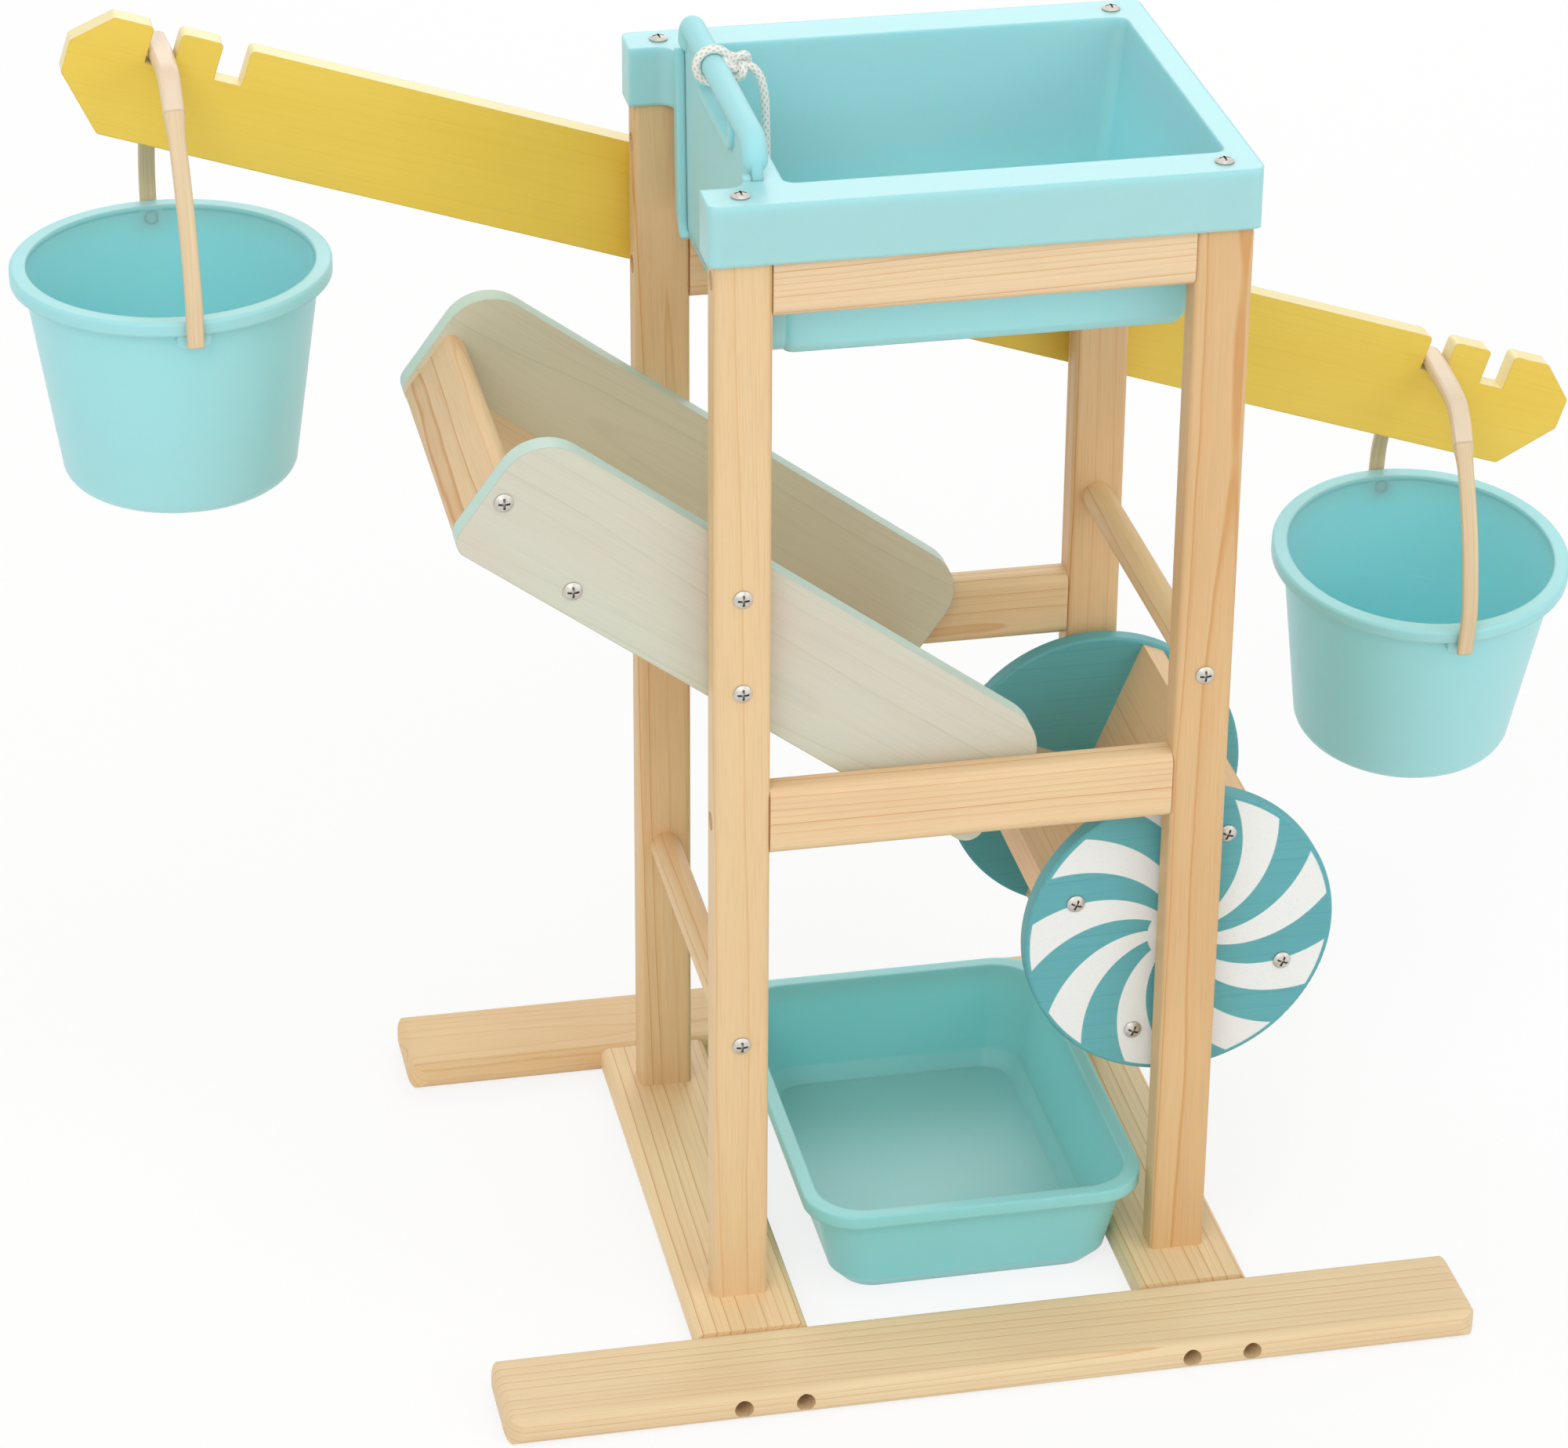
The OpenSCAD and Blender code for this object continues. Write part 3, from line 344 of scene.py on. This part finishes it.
boardFigures = {               # heart of the log seen from the middle of a board, and its lean in degrees
    "post_front_left": {"heart": (9, -6), "lean": (0.8, 1.0), "line": "#D0944F", "ring": 8, "contrast": 0.7,
                        "pale": "#E8C898", "rosy": "#E4C092"},
    "post_front_right": {"heart": (26, 9), "lean": (-0.2, 0.5), "pale": "#E2BF8C", "rosy": "#D9B07E",
                         "ring": 7, "contrast": 0.7},
    "post_rear_left": {"heart": (7, 5), "lean": (1.1, -0.9), "contrast": 0.8, "pale": "#E5C392", "rosy": "#DCB582"},
    "post_rear_right": {"heart": (8, 4), "lean": (0.9, 0.8), "contrast": 0.8, "pale": "#E6C592", "rosy": "#DDB784"},
    "upper_rail_front": {"heart": (18, -26), "lean": (1.3, 0.4), "ring": 2.9, "contrast": 0.95, "wander": 4,
                         "pale": "#EACDA6", "rosy": "#E7C49D"},
    "mid_rail_front": {"heart": (24, 14), "lean": (0.2, 0.5), "ring": 2.9, "contrast": 0.95, "wander": 3},
    "mid_rail_rear": {"heart": (30, 12), "lean": (0.3, 0.5), "ring": 2.6, "contrast": 0.9},
    "foot_front": {"heart": (36, -26), "lean": (0.3, 0.2), "ring": 2.8, "contrast": 0.9, "wander": 3,
                   "pale": "#EBD6AB", "rosy": "#E5C99F"},
    "foot_rear": {"heart": (9, 20), "lean": (-0.5, 0.4), "ring": 3.4, "pale": "#ECD09E", "rosy": "#E5C28E"},
    "base_plank_left": {"heart": (42, 9), "lean": (0.3, 0.4), "ring": 3.4, "contrast": 1.0, "wander": 3,
                        "pale": "#F3DAA8", "rosy": "#E9C596", "line": "#C68F4A"},
    "base_plank_right": {"heart": (-44, 8), "lean": (-0.3, 0.4), "ring": 3.6, "contrast": 1.0, "wander": 3,
                         "pale": "#EFD8AA", "rosy": "#E5C598", "line": "#C68F4A"},
    "dowel_left": {"pale": "#E8CA9A", "rosy": "#E3C08E"},
    "dowel_right": {"pale": "#E8CA9A", "rosy": "#E3C08E"},
    "chute_end_board": {"heart": (3, 12), "lean": (0.4, 1.0), "contrast": 0.75},
    "chute_side_rear": {"pale": "#D5D3B7", "rosy": "#D2CAB0"},
}


def woodMaterial(name, look, node, direction, seed):
    # planed boards: matt, with year rings and fine fibres that follow each board's length;
    # a stained board has another tone on its narrow faces, worn stain together with painted light: a painted highlight
    # where the light catches them, and a little painted shade on the teal disc rims
    draw = random.Random(seed)
    pattern = boardPattern
    tint = [draw.uniform(*pattern["tint"]) for _ in range(3)]
    spread, angle = draw.uniform(*pattern["heartAway"]), draw.uniform(0, math.tau)
    lean = [draw.uniform(-pattern["leanMost"], pattern["leanMost"]) for _ in range(2)]
    look = {**look, "heart": (spread * math.cos(angle), spread * math.sin(angle)), "lean": lean,
            **boardFigures.get(node, {})}
    pale, rosy, late = ((*(c * t for c, t in zip(linear(look[key]), tint)), 1) for key in ("pale", "rosy", "line"))
    material, tree, shader = newMaterial(name, Roughness=look["roughness"], IOR=1.5)
    centre = sum((Vector(c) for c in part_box(node)), Vector()) / 2
    for axis, turn in zip("XYZ", boardTurns[direction]):
        centre.rotate(Matrix.Rotation(turn, 3, axis))
    place = addNode(tree, "TexCoord", {}, "Object")
    board = addNode(tree, "Mapping", {"Vector": place, "Rotation": boardTurns[direction], "Location": -centre})
    lean = (0, *(math.radians(a) for a in look["lean"]))
    heart = (draw.uniform(0, pattern["alongMost"]), *(h / 1000 for h in look["heart"]))
    log = addNode(tree, "Mapping", {"Vector": board, "Rotation": lean, "Location": heart})
    slow = addNode(tree, "Mapping", {"Vector": log, "Scale": pattern["patches"]})
    stray = addNode(tree, "TexNoise", {"Vector": slow, "Scale": 1, "Detail": 4, "Roughness": 0.42}, "Color")
    stray = addNode(tree, "VectorMath", {0: stray, 1: (0.5, 0.5, 0.5)}, operation="SUBTRACT")
    stray = addNode(tree, "VectorMath", {0: stray, "Scale": look["wander"] * 2 / 1000}, operation="SCALE")
    bent = addNode(tree, "VectorMath", {0: log, 1: stray}, operation="ADD")
    across = 1000 / look["ring"]
    bent = addNode(tree, "Mapping", {"Vector": bent, "Scale": (0, across, across)})
    rings = addNode(tree, "VectorMath", {0: bent}, "Value", operation="LENGTH")
    year = addNode(tree, "Math", {0: rings}, operation="FRACT")
    year = addNode(tree, "ValToRGB", {0: year}, stops=pattern["year"])
    which = addNode(tree, "Math", {0: rings}, operation="FLOOR")
    which = addNode(tree, "TexWhiteNoise", {"W": which}, "Value", noise_dimensions="1D")
    which = addNode(tree, "ValToRGB", {0: which}, stops=pattern["strength"])
    dark = addNode(tree, "Math", {0: year, 1: which}, operation="MULTIPLY")
    patch = addNode(tree, "TexNoise", {"Vector": slow, "Scale": pattern["patchShare"], "Detail": 2})
    share = addNode(tree, "ValToRGB", {0: patch}, stops=pattern["warm"])
    ground = addNode(tree, "Mix", {0: share, 6: pale, 7: rosy}, 2, data_type="RGBA")
    share = addNode(tree, "Math", {0: dark, 1: look["contrast"]}, operation="MULTIPLY")
    tone = addNode(tree, "Mix", {0: share, 6: ground, 7: late}, 2, data_type="RGBA")
    streak = 1000 / look["fibre"]
    fibre = addNode(tree, "Mapping", {"Vector": log, "Scale": (streak / pattern["streakLength"], streak, streak)})
    fibre = addNode(tree, "TexNoise", {"Vector": fibre, "Scale": 1, "Detail": 3, "Roughness": 0.6})
    grey = addNode(tree, "ValToRGB", {0: fibre}, stops=pattern["streakGrey"])
    tone = addNode(tree, "Mix", {0: look["grain"], 6: tone, 7: grey}, 2, data_type="RGBA", blend_type="MULTIPLY")
    # painted light: narrow faces, which don't look along y, take the edge colour, for worn stain and the light that
    # catches them
    if "edge" in look:
        normal = addNode(tree, "TexCoord", {}, "Normal")
        depth = addNode(tree, "SeparateXYZ", {0: normal}, "Y")
        depth = addNode(tree, "Math", {0: depth}, operation="ABSOLUTE")
        edge = addNode(tree, "ValToRGB", {0: depth}, stops=((0.3, look["edgeShare"]), (0.9, 0.0)))
        tone = addNode(tree, "Mix", {0: edge, 6: tone, 7: linear(look["edge"])}, 2, data_type="RGBA")
    height = addNode(tree, "Math", {0: dark, 1: pattern["ringDip"], 2: fibre}, operation="MULTIPLY_ADD")
    bump = {"Height": height, "Strength": 0.3, "Distance": pattern["relief"] / 1000}
    if look["soften"]:
        bump["Normal"] = addNode(tree, "Bevel", {"Radius": look["soften"] / 1000}, samples=4)
    rough = look["roughness"]
    rough = addNode(tree, "ValToRGB", {0: fibre}, stops=((0.2, rough + 0.1), (0.8, rough - 0.06)))
    tree.links.new(tone, shader.inputs["Base Color"])
    tree.links.new(rough, shader.inputs["Roughness"])
    tree.links.new(addNode(tree, "Bump", bump), shader.inputs["Normal"])
    return material, tree, shader


pineBoards = {
    "x": ["foot_front", "foot_rear", "upper_rail_front", "mid_rail_front",
          "top_rail_rear", "beam_rail_rear", "mid_rail_rear"],
    "y": ["base_plank_left", "base_plank_right", "dowel_left", "dowel_right", "chute_end_board",
          "paddle_1", "paddle_2", "paddle_3", "paddle_4", "wheel_axle", "wheel_spacers"],
    "z": ["post_front_left", "post_front_right", "post_rear_left", "post_rear_right"],
    "chute": ["chute_floor"],
}


def dressBoards():
    seed = 40
    for direction, nodes in pineBoards.items():
        for node in nodes:
            seed += 1
            dress(woodMaterial("planedPine_" + node, planedPine, node, direction, seed)[0], node)
    for node in ("chute_side_front", "chute_side_rear"):
        seed += 1
        dress(woodMaterial("paleStainedPine_" + node, paleStain, node, "chute", seed)[0], node)
    dress(woodMaterial("yellowStainedPine", yellowStain, "beam", "beam", 71)[0], "beam")
    print("boards dressed")


dressBoards()

swirl = {
    "centre": (0.115, 0.191),  # x and z of the axle in m
    "white": "#E8EAE8",
    "arms": 9,
    "lead": 0.645,             # degrees that an arm turns for each millimetre outwards
    "whiteFrom": 0.5,          # degrees of each arm's span that are white
    "whiteTo": 20.5,
    "outer": 0.078,            # radius of the print in m
    "hub": 0.017,              # radius of the white middle
    "face": -0.0872,           # the print lies only in front of this depth
    "blur": 0.006,
    "edge": 0.0003,            # m over which the print ends
    "wear": 900,               # worn specks per m, coarser than real so that they show
}


def printSwirl(tree, shader):
    # white screen print of curved arms over the stain, on the front face only, a little worn
    place = addNode(tree, "TexCoord", {}, "Object")
    flat = addNode(tree, "Mapping", {"Vector": place, "Scale": (1, 0, 1),
                                     "Location": (-swirl["centre"][0], 0, -swirl["centre"][1])})
    parts = addNode(tree, "SeparateXYZ", {0: flat}, "X").node
    angle = addNode(tree, "Math", {0: parts.outputs["Z"], 1: parts.outputs["X"]}, operation="ARCTAN2")
    radius = addNode(tree, "VectorMath", {0: flat}, "Value", operation="LENGTH")
    span = math.tau / swirl["arms"]
    lead = -math.radians(swirl["lead"]) * 1000 / span
    phase = addNode(tree, "Math", {0: angle, 1: 1 / span, 2: 20.0}, operation="MULTIPLY_ADD")
    phase = addNode(tree, "Math", {0: radius, 1: lead, 2: phase}, operation="MULTIPLY_ADD")
    phase = addNode(tree, "Math", {0: phase}, operation="FRACT")
    first, last = (math.radians(swirl[key]) / span for key in ("whiteFrom", "whiteTo"))
    blur = swirl["blur"]
    edges = ((first - blur, 0.0), (first + blur, 1.0), (last - blur, 1.0), (last + blur, 0.0))
    arms = addNode(tree, "ValToRGB", {0: phase}, stops=edges)
    wide = addNode(tree, "Math", {0: radius, 1: 10}, operation="MULTIPLY")
    hub, disc = (addNode(tree, "ValToRGB", {0: wide}, stops=((end - 10 * swirl["edge"], 1.0), (end, 0.0)))
                 for end in (10 * swirl["hub"], 10 * swirl["outer"]))
    front = addNode(tree, "SeparateXYZ", {0: place}, "Y")
    front = addNode(tree, "Math", {0: front, 1: swirl["face"]}, operation="LESS_THAN")
    cover = addNode(tree, "Math", {0: arms, 1: hub}, operation="MAXIMUM")
    cover = addNode(tree, "Math", {0: cover, 1: disc}, operation="MULTIPLY")
    cover = addNode(tree, "Math", {0: cover, 1: front}, operation="MULTIPLY")
    worn = addNode(tree, "TexNoise", {"Vector": place, "Scale": swirl["wear"], "Detail": 2})
    worn = addNode(tree, "ValToRGB", {0: worn}, stops=((0.28, 0.8), (0.4, 1.0)))
    cover = addNode(tree, "Math", {0: cover, 1: worn}, operation="MULTIPLY")
    stain = shader.inputs["Base Color"].links[0].from_socket
    ink = addNode(tree, "Mix", {0: cover, 6: stain, 7: linear(swirl["white"])}, 2, data_type="RGBA")
    tree.links.new(ink, shader.inputs["Base Color"])


def dressWheel():
    for seed, node in enumerate(("wheel_disc_front", "wheel_disc_rear")):
        material, tree, shader = woodMaterial("tealStainedWood_" + node, tealStain, node, "x", 90 + seed)
        if node == "wheel_disc_front":
            printSwirl(tree, shader)
        dress(material, node)
    print("wheel dressed")


dressWheel()

bluePlastic = {
    "pale": "#A9DCE0",
    "deep": "#A0D9DD",
    "tubPale": "#97D6D7",
    "tubDeep": "#8CD1D2",
    "roughness": 0.35,
    "grain": 0.8,              # mm, grain of the moulded skin
    "soften": {"tray": 2.4, "gate": 2, "tub": 1.9, "bucket_left": 2, "bucket_right": 2},
    "capSize": 3.3,            # mm, radius of the skins that close the pin holes on the inside
    "capFrom": 71.35,          # mm from the middle of the handle to both ends of a skin
    "capTo": 75.4,
    "crispRound": 7,           # mm round a pin hole that keeps its own shading
    "capTaper": 0.9,           # a skin is narrower at its inner end, as a share
    "capProud": 0.02,          # mm that a skin stands in front of the wall
    "dull": {"gate": (0.55, 0.2)},    # roughness and specular level of the rubbed gate
    "cloudScale": 6,           # slow changes of tone per m
}
handlePlastic = {
    "leg": "#E0C9A3",          # the strip, with its streaks, and the sleeve round the grip
    "streak": "#D0B68E",
    "sleeve": "#E2CDB1",
    "sleeveReach": 0.046,      # m from the middle of the grip
    "flow": (1100, 14, 14),    # flow lines per m, long down the legs
    "shifts": {"handle_left": (0, 0, 0), "handle_right": (0, -0.0178, -0.0024)},
    "soften": 1.2,
}
zincSteel = {
    "pale": "#DAD6CE",
    "dull": "#C6C1B8",
    # painted shade: the colour that the driver crosses and the rings round the heads darken to
    "recess": "#3F3A34",
    "flecks": 500,             # per m
    "recessDepth": 0.0016,     # m, how far round a dip its shade reaches
}


def pinEnds(node):
    # the two places where the pins of a handle go through the wall of a bucket
    joints = frame["record"]["behaviour"]["joints"]
    joint = next(j for j in joints if j["child"] == node)
    pin, axis = Vector(joint["pos_m"]), Vector(joint["axis"]).normalized()
    return [(pin + side * bluePlastic["capFrom"] / 1000, side) for side in (axis, -axis)]


def makePinCaps():
    # skins that close the pin holes on the inside of a bucket and lie in its wall
    size, depth = bluePlastic["capSize"] / 1000, (bluePlastic["capTo"] - bluePlastic["capFrom"]) / 1000
    back, proud = 0.02, bluePlastic["capProud"] / 1000    # back: m in front of the wall where its place is felt for
    caps = []
    for node in ("bucket_left", "bucket_right"):
        bucket = frame["nodes"][node]
        home = bucket.matrix_world.inverted()
        bm = bmesh.new()
        for place, side in pinEnds(node):
            turn = side.to_track_quat("-Z", "Y").to_matrix().to_4x4()
            plug = bmesh.ops.create_cone(bm, cap_ends=True, segments=40, depth=depth,
                                         radius1=size * bluePlastic["capTaper"], radius2=size,
                                         matrix=Matrix.Translation(place + side * depth / 2) @ turn)
            for vert in plug["verts"]:
                along = (vert.co - place).dot(side)
                if along < depth / 2:
                    found, spot = bucket.ray_cast(home @ (vert.co - side * back), home.to_3x3() @ side)[:2]
                    if found:
                        vert.co = bucket.matrix_world @ spot - side * proud
        caps.append(finishMesh("pinCaps_" + node, bm, node, 40))
    return caps


def mouldedBluePlastic(node):
    # moulded polypropylene: smooth, softly shining, and light carries a little way into it
    material, tree, shader = newMaterial("mouldedBluePlastic_" + node, IOR=1.46,
                                         Subsurface_Weight=0.55, Subsurface_Scale=0.009)
    shader.inputs["Subsurface Radius"].default_value = (0.3, 0.9, 1.0)
    place = addNode(tree, "TexCoord", {}, "Object")
    cloud = addNode(tree, "TexNoise", {"Vector": place, "Scale": bluePlastic["cloudScale"], "Detail": 1})
    skin = addNode(tree, "TexNoise", {"Vector": place, "Scale": 1000 / bluePlastic["grain"], "Detail": 1})
    deep, pale = (linear(bluePlastic[key]) for key in (("tubDeep", "tubPale") if node == "tub" else ("deep", "pale")))
    tone = addNode(tree, "ValToRGB", {0: cloud}, stops=((0, deep), (1, pale)))
    rough, gleam = bluePlastic["dull"].get(node, (bluePlastic["roughness"], 0.5))
    shader.inputs["Specular IOR Level"].default_value = gleam
    rough = addNode(tree, "ValToRGB", {0: cloud}, stops=((0, rough - 0.04), (1, rough + 0.04)))
    radius = bluePlastic["soften"][node] / 1000
    if node.startswith("bucket"):
        for spot, _ in pinEnds(node):
            away = addNode(tree, "VectorMath", {0: place, 1: spot}, "Value", operation="DISTANCE")
            away = addNode(tree, "Math", {0: away, 1: bluePlastic["crispRound"] / 1000}, operation="GREATER_THAN")
            radius = addNode(tree, "Math", {0: radius, 1: away}, operation="MULTIPLY")
    soft = addNode(tree, "Bevel", {"Radius": radius}, samples=4)
    bump = addNode(tree, "Bump", {"Height": skin, "Strength": 0.08, "Distance": 0.00005, "Normal": soft})
    tree.links.new(tone, shader.inputs["Base Color"])
    tree.links.new(rough, shader.inputs["Roughness"])
    tree.links.new(bump, shader.inputs["Normal"])
    return material


def mouldedHandle(node):
    # beige moulded strip with faint long flow lines, under a smoother and paler sleeve round the grip, with a soft band
    # of painted shade where the sleeve ends
    material, tree, shader = newMaterial("mouldedBeigePlastic_" + node, IOR=1.49)
    joint = next(j for j in frame["record"]["behaviour"]["joints"] if j["child"] == node)
    middle = Vector(joint["pos_m"]) + Vector(handlePlastic["shifts"][node])
    place = addNode(tree, "TexCoord", {}, "Object")
    reach = addNode(tree, "VectorMath", {0: place, 1: middle}, "Value", operation="DISTANCE")
    end = handlePlastic["sleeveReach"] * 10
    reach = addNode(tree, "Math", {0: reach, 1: 10}, operation="MULTIPLY")
    sleeve = addNode(tree, "ValToRGB", {0: reach}, stops=((end - 0.003, 1.0), (end + 0.003, 0.0)))
    # painted shade: a soft darker band on both sides of the sleeve's end, where the step lies
    sleeveEndShade = addNode(tree, "ValToRGB", {0: reach}, stops=((end - 0.006, 1.0), (end, 0.8), (end + 0.006, 1.0)))
    flow = addNode(tree, "Mapping", {"Vector": place, "Scale": handlePlastic["flow"]})
    flow = addNode(tree, "TexNoise", {"Vector": flow, "Scale": 1, "Detail": 1})
    flow = addNode(tree, "ValToRGB", {0: flow}, stops=((0.3, 0.0), (0.75, 0.8)))
    leg, streak, grip = (linear(handlePlastic[key]) for key in ("leg", "streak", "sleeve"))
    tone = addNode(tree, "Mix", {0: flow, 6: leg, 7: streak}, 2, data_type="RGBA")
    tone = addNode(tree, "Mix", {0: sleeve, 6: tone, 7: grip}, 2, data_type="RGBA")
    tone = addNode(tree, "Mix", {0: 1.0, 6: tone, 7: sleeveEndShade}, 2, data_type="RGBA", blend_type="MULTIPLY")
    rough = addNode(tree, "ValToRGB", {0: sleeve}, stops=((0, 0.45), (1, 0.3)))
    soft = addNode(tree, "Bevel", {"Radius": handlePlastic["soften"] / 1000}, samples=4)
    bump = addNode(tree, "Bump", {"Height": sleeve, "Strength": 0.6, "Distance": 0.0004, "Normal": soft})
    tree.links.new(tone, shader.inputs["Base Color"])
    tree.links.new(rough, shader.inputs["Roughness"])
    tree.links.new(bump, shader.inputs["Normal"])
    return material


def zincPlatedSteel():
    # zinc-plated steel: pale grey metal, with painted shade in the driver crosses and round the heads
    material, tree, shader = newMaterial("zincPlatedSteel", Metallic=0.75)
    place = addNode(tree, "TexCoord", {}, "Object")
    fleck = addNode(tree, "TexNoise", {"Vector": place, "Scale": zincSteel["flecks"], "Detail": 2})
    dull, pale, recess = (linear(zincSteel[key]) for key in ("dull", "pale", "recess"))
    tone = addNode(tree, "ValToRGB", {0: fleck}, stops=((0.3, dull), (0.7, pale)))
    # painted shade: ambient occlusion darkens the crosses and the rings round the heads toward the shade colour
    clear = addNode(tree, "AmbientOcclusion", {"Distance": zincSteel["recessDepth"]}, "AO", samples=8)
    clear = addNode(tree, "ValToRGB", {0: clear}, stops=((0.35, 0.0), (0.8, 1.0)))
    tone = addNode(tree, "Mix", {0: clear, 6: recess, 7: tone}, 2, data_type="RGBA")
    rough = addNode(tree, "ValToRGB", {0: fleck}, stops=((0.3, 0.4), (0.7, 0.5)))
    bump = addNode(tree, "Bump", {"Height": fleck, "Strength": 0.1, "Distance": 0.00005})
    tree.links.new(tone, shader.inputs["Base Color"])
    tree.links.new(rough, shader.inputs["Roughness"])
    tree.links.new(bump, shader.inputs["Normal"])
    return material


cotton = {
    "strand": "#F3F1EA",
    # painted shade: the colour in the dips between the strands
    "dip": "#CFC8B8",
    "fluff": 0.4,              # mm
}


def braidedCotton():
    # braided cotton cord: dull white strands, with painted shade in the dips between them
    material, tree, shader = newMaterial("braidedCotton", Roughness=0.85, Sheen_Weight=0.3)
    weave = addNode(tree, "Attribute", {}, "Fac", attribute_name="braid")
    place = addNode(tree, "TexCoord", {}, "Object")
    fluff = addNode(tree, "TexNoise", {"Vector": place, "Scale": 1000 / cotton["fluff"], "Detail": 2})
    # painted shade: the colour darkens where a strand dips under its neighbour
    tone = addNode(tree, "ValToRGB", {0: weave}, stops=((0.3, linear(cotton["dip"])), (0.75, linear(cotton["strand"]))))
    grey = addNode(tree, "ValToRGB", {0: fluff}, stops=((0.3, 0.92), (0.7, 1.0)))
    tone = addNode(tree, "Mix", {0: 0.8, 6: tone, 7: grey}, 2, data_type="RGBA", blend_type="MULTIPLY")
    bump = addNode(tree, "Bump", {"Height": fluff, "Strength": 0.3, "Distance": 0.0001})
    tree.links.new(tone, shader.inputs["Base Color"])
    tree.links.new(bump, shader.inputs["Normal"])
    return material


def dressRest():
    caps = {cap.name.replace("pinCaps_", ""): cap for cap in makePinCaps()}
    for node in bluePlastic["soften"]:
        dress(mouldedBluePlastic(node), node, *([caps[node]] if node in caps else []))
    for node in handlePlastic["shifts"]:
        dress(mouldedHandle(node), node)
    steelNodes = [n for n in frame["nodes"] if "screws" in n or n in ("beam_bolt", "beam_nut", "beam_washer")]
    dress(zincPlatedSteel(), *steelNodes)
    dress(braidedCotton(), *cordPieces)
    print("plastics, steel and cord dressed")


dressRest()


studio = {
    "floorColour": "#F6F6F5",
    "floorSize": 14,
    "floorGlow": 0.78,         # share of plain white that the camera sees in the floor
    "whiteFrom": 0.9,          # m from the middle, where the floor starts to turn plain white
    "whiteTo": 4.5,
    "worldLevel": 0.76,
    "aim": (0, 0, 0.3),
    "lamps": {                 # place, size and watts
        "key": ((-1.5, -3.0, 2.9), 2.4, 38),
        "top": ((0.1, -0.9, 3.1), 1.8, 9),
        "fill": ((2.4, -2.2, 1.8), 2.0, 14),
        "back": ((0.9, 3.4, 2.4), 2.6, 26),
    },
}


def backdropShare(tree):
    # 1 for rays that should meet plain white: the camera's, reflections and light through clear pieces
    path = addNode(tree, "LightPath", {}, "Is Camera Ray")
    share = addNode(tree, "Math", {0: path, 1: path.node.outputs["Is Glossy Ray"]}, operation="MAXIMUM")
    return addNode(tree, "Math", {0: share, 1: path.node.outputs["Is Transmission Ray"]}, operation="MAXIMUM")


def makeStudio():
    bm = bmesh.new()
    bmesh.ops.create_grid(bm, x_segments=1, y_segments=1, size=studio["floorSize"] / 2)
    mesh = bpy.data.meshes.new("floor")
    bm.to_mesh(mesh)
    bm.free()
    floor = bpy.data.objects.new("floor", mesh)
    bpy.context.scene.collection.objects.link(floor)
    material, tree, shader = newMaterial("paleFloor", Roughness=0.9)
    shader.inputs["Base Color"].default_value = linear(studio["floorColour"])
    glow = addNode(tree, "Emission", {"Color": (1, 1, 1, 1), "Strength": 1})
    reach = addNode(tree, "VectorMath", {0: addNode(tree, "TexCoord", {}, "Object")}, "Value", operation="LENGTH")
    white = addNode(tree, "MapRange", {"Value": reach, "From Min": studio["whiteFrom"], "From Max": studio["whiteTo"],
                                       "To Min": studio["floorGlow"], "To Max": 1})
    share = addNode(tree, "Math", {0: backdropShare(tree), 1: white}, operation="MULTIPLY")
    mix = addNode(tree, "MixShader", {0: share, 1: shader.outputs["BSDF"], 2: glow})
    tree.links.new(mix, tree.nodes["Material Output"].inputs["Surface"])
    mesh.materials.append(material)

    world = bpy.data.worlds.new("studio")
    world.use_nodes = True
    bpy.context.scene.world = world
    tree = world.node_tree
    background = tree.nodes["Background"]
    background.inputs["Color"].default_value = (1, 1, 1, 1)
    level = addNode(tree, "Math", {0: backdropShare(tree), 1: 1 - studio["worldLevel"], 2: studio["worldLevel"]},
                    operation="MULTIPLY_ADD")
    tree.links.new(level, background.inputs["Strength"])

    for name, (place, size, watts) in studio["lamps"].items():
        data = bpy.data.lights.new(name, "AREA")
        data.shape = "DISK"
        data.size = size
        data.energy = watts
        lamp = bpy.data.objects.new(name, data)
        lamp.location = place
        lamp.rotation_euler = (Vector(studio["aim"]) - Vector(place)).to_track_quat("-Z", "Y").to_euler()
        bpy.context.scene.collection.objects.link(lamp)
    bpy.context.scene.view_settings.view_transform = "Standard"
    print("studio made")


makeStudio()

bpy.context.view_layer.update()
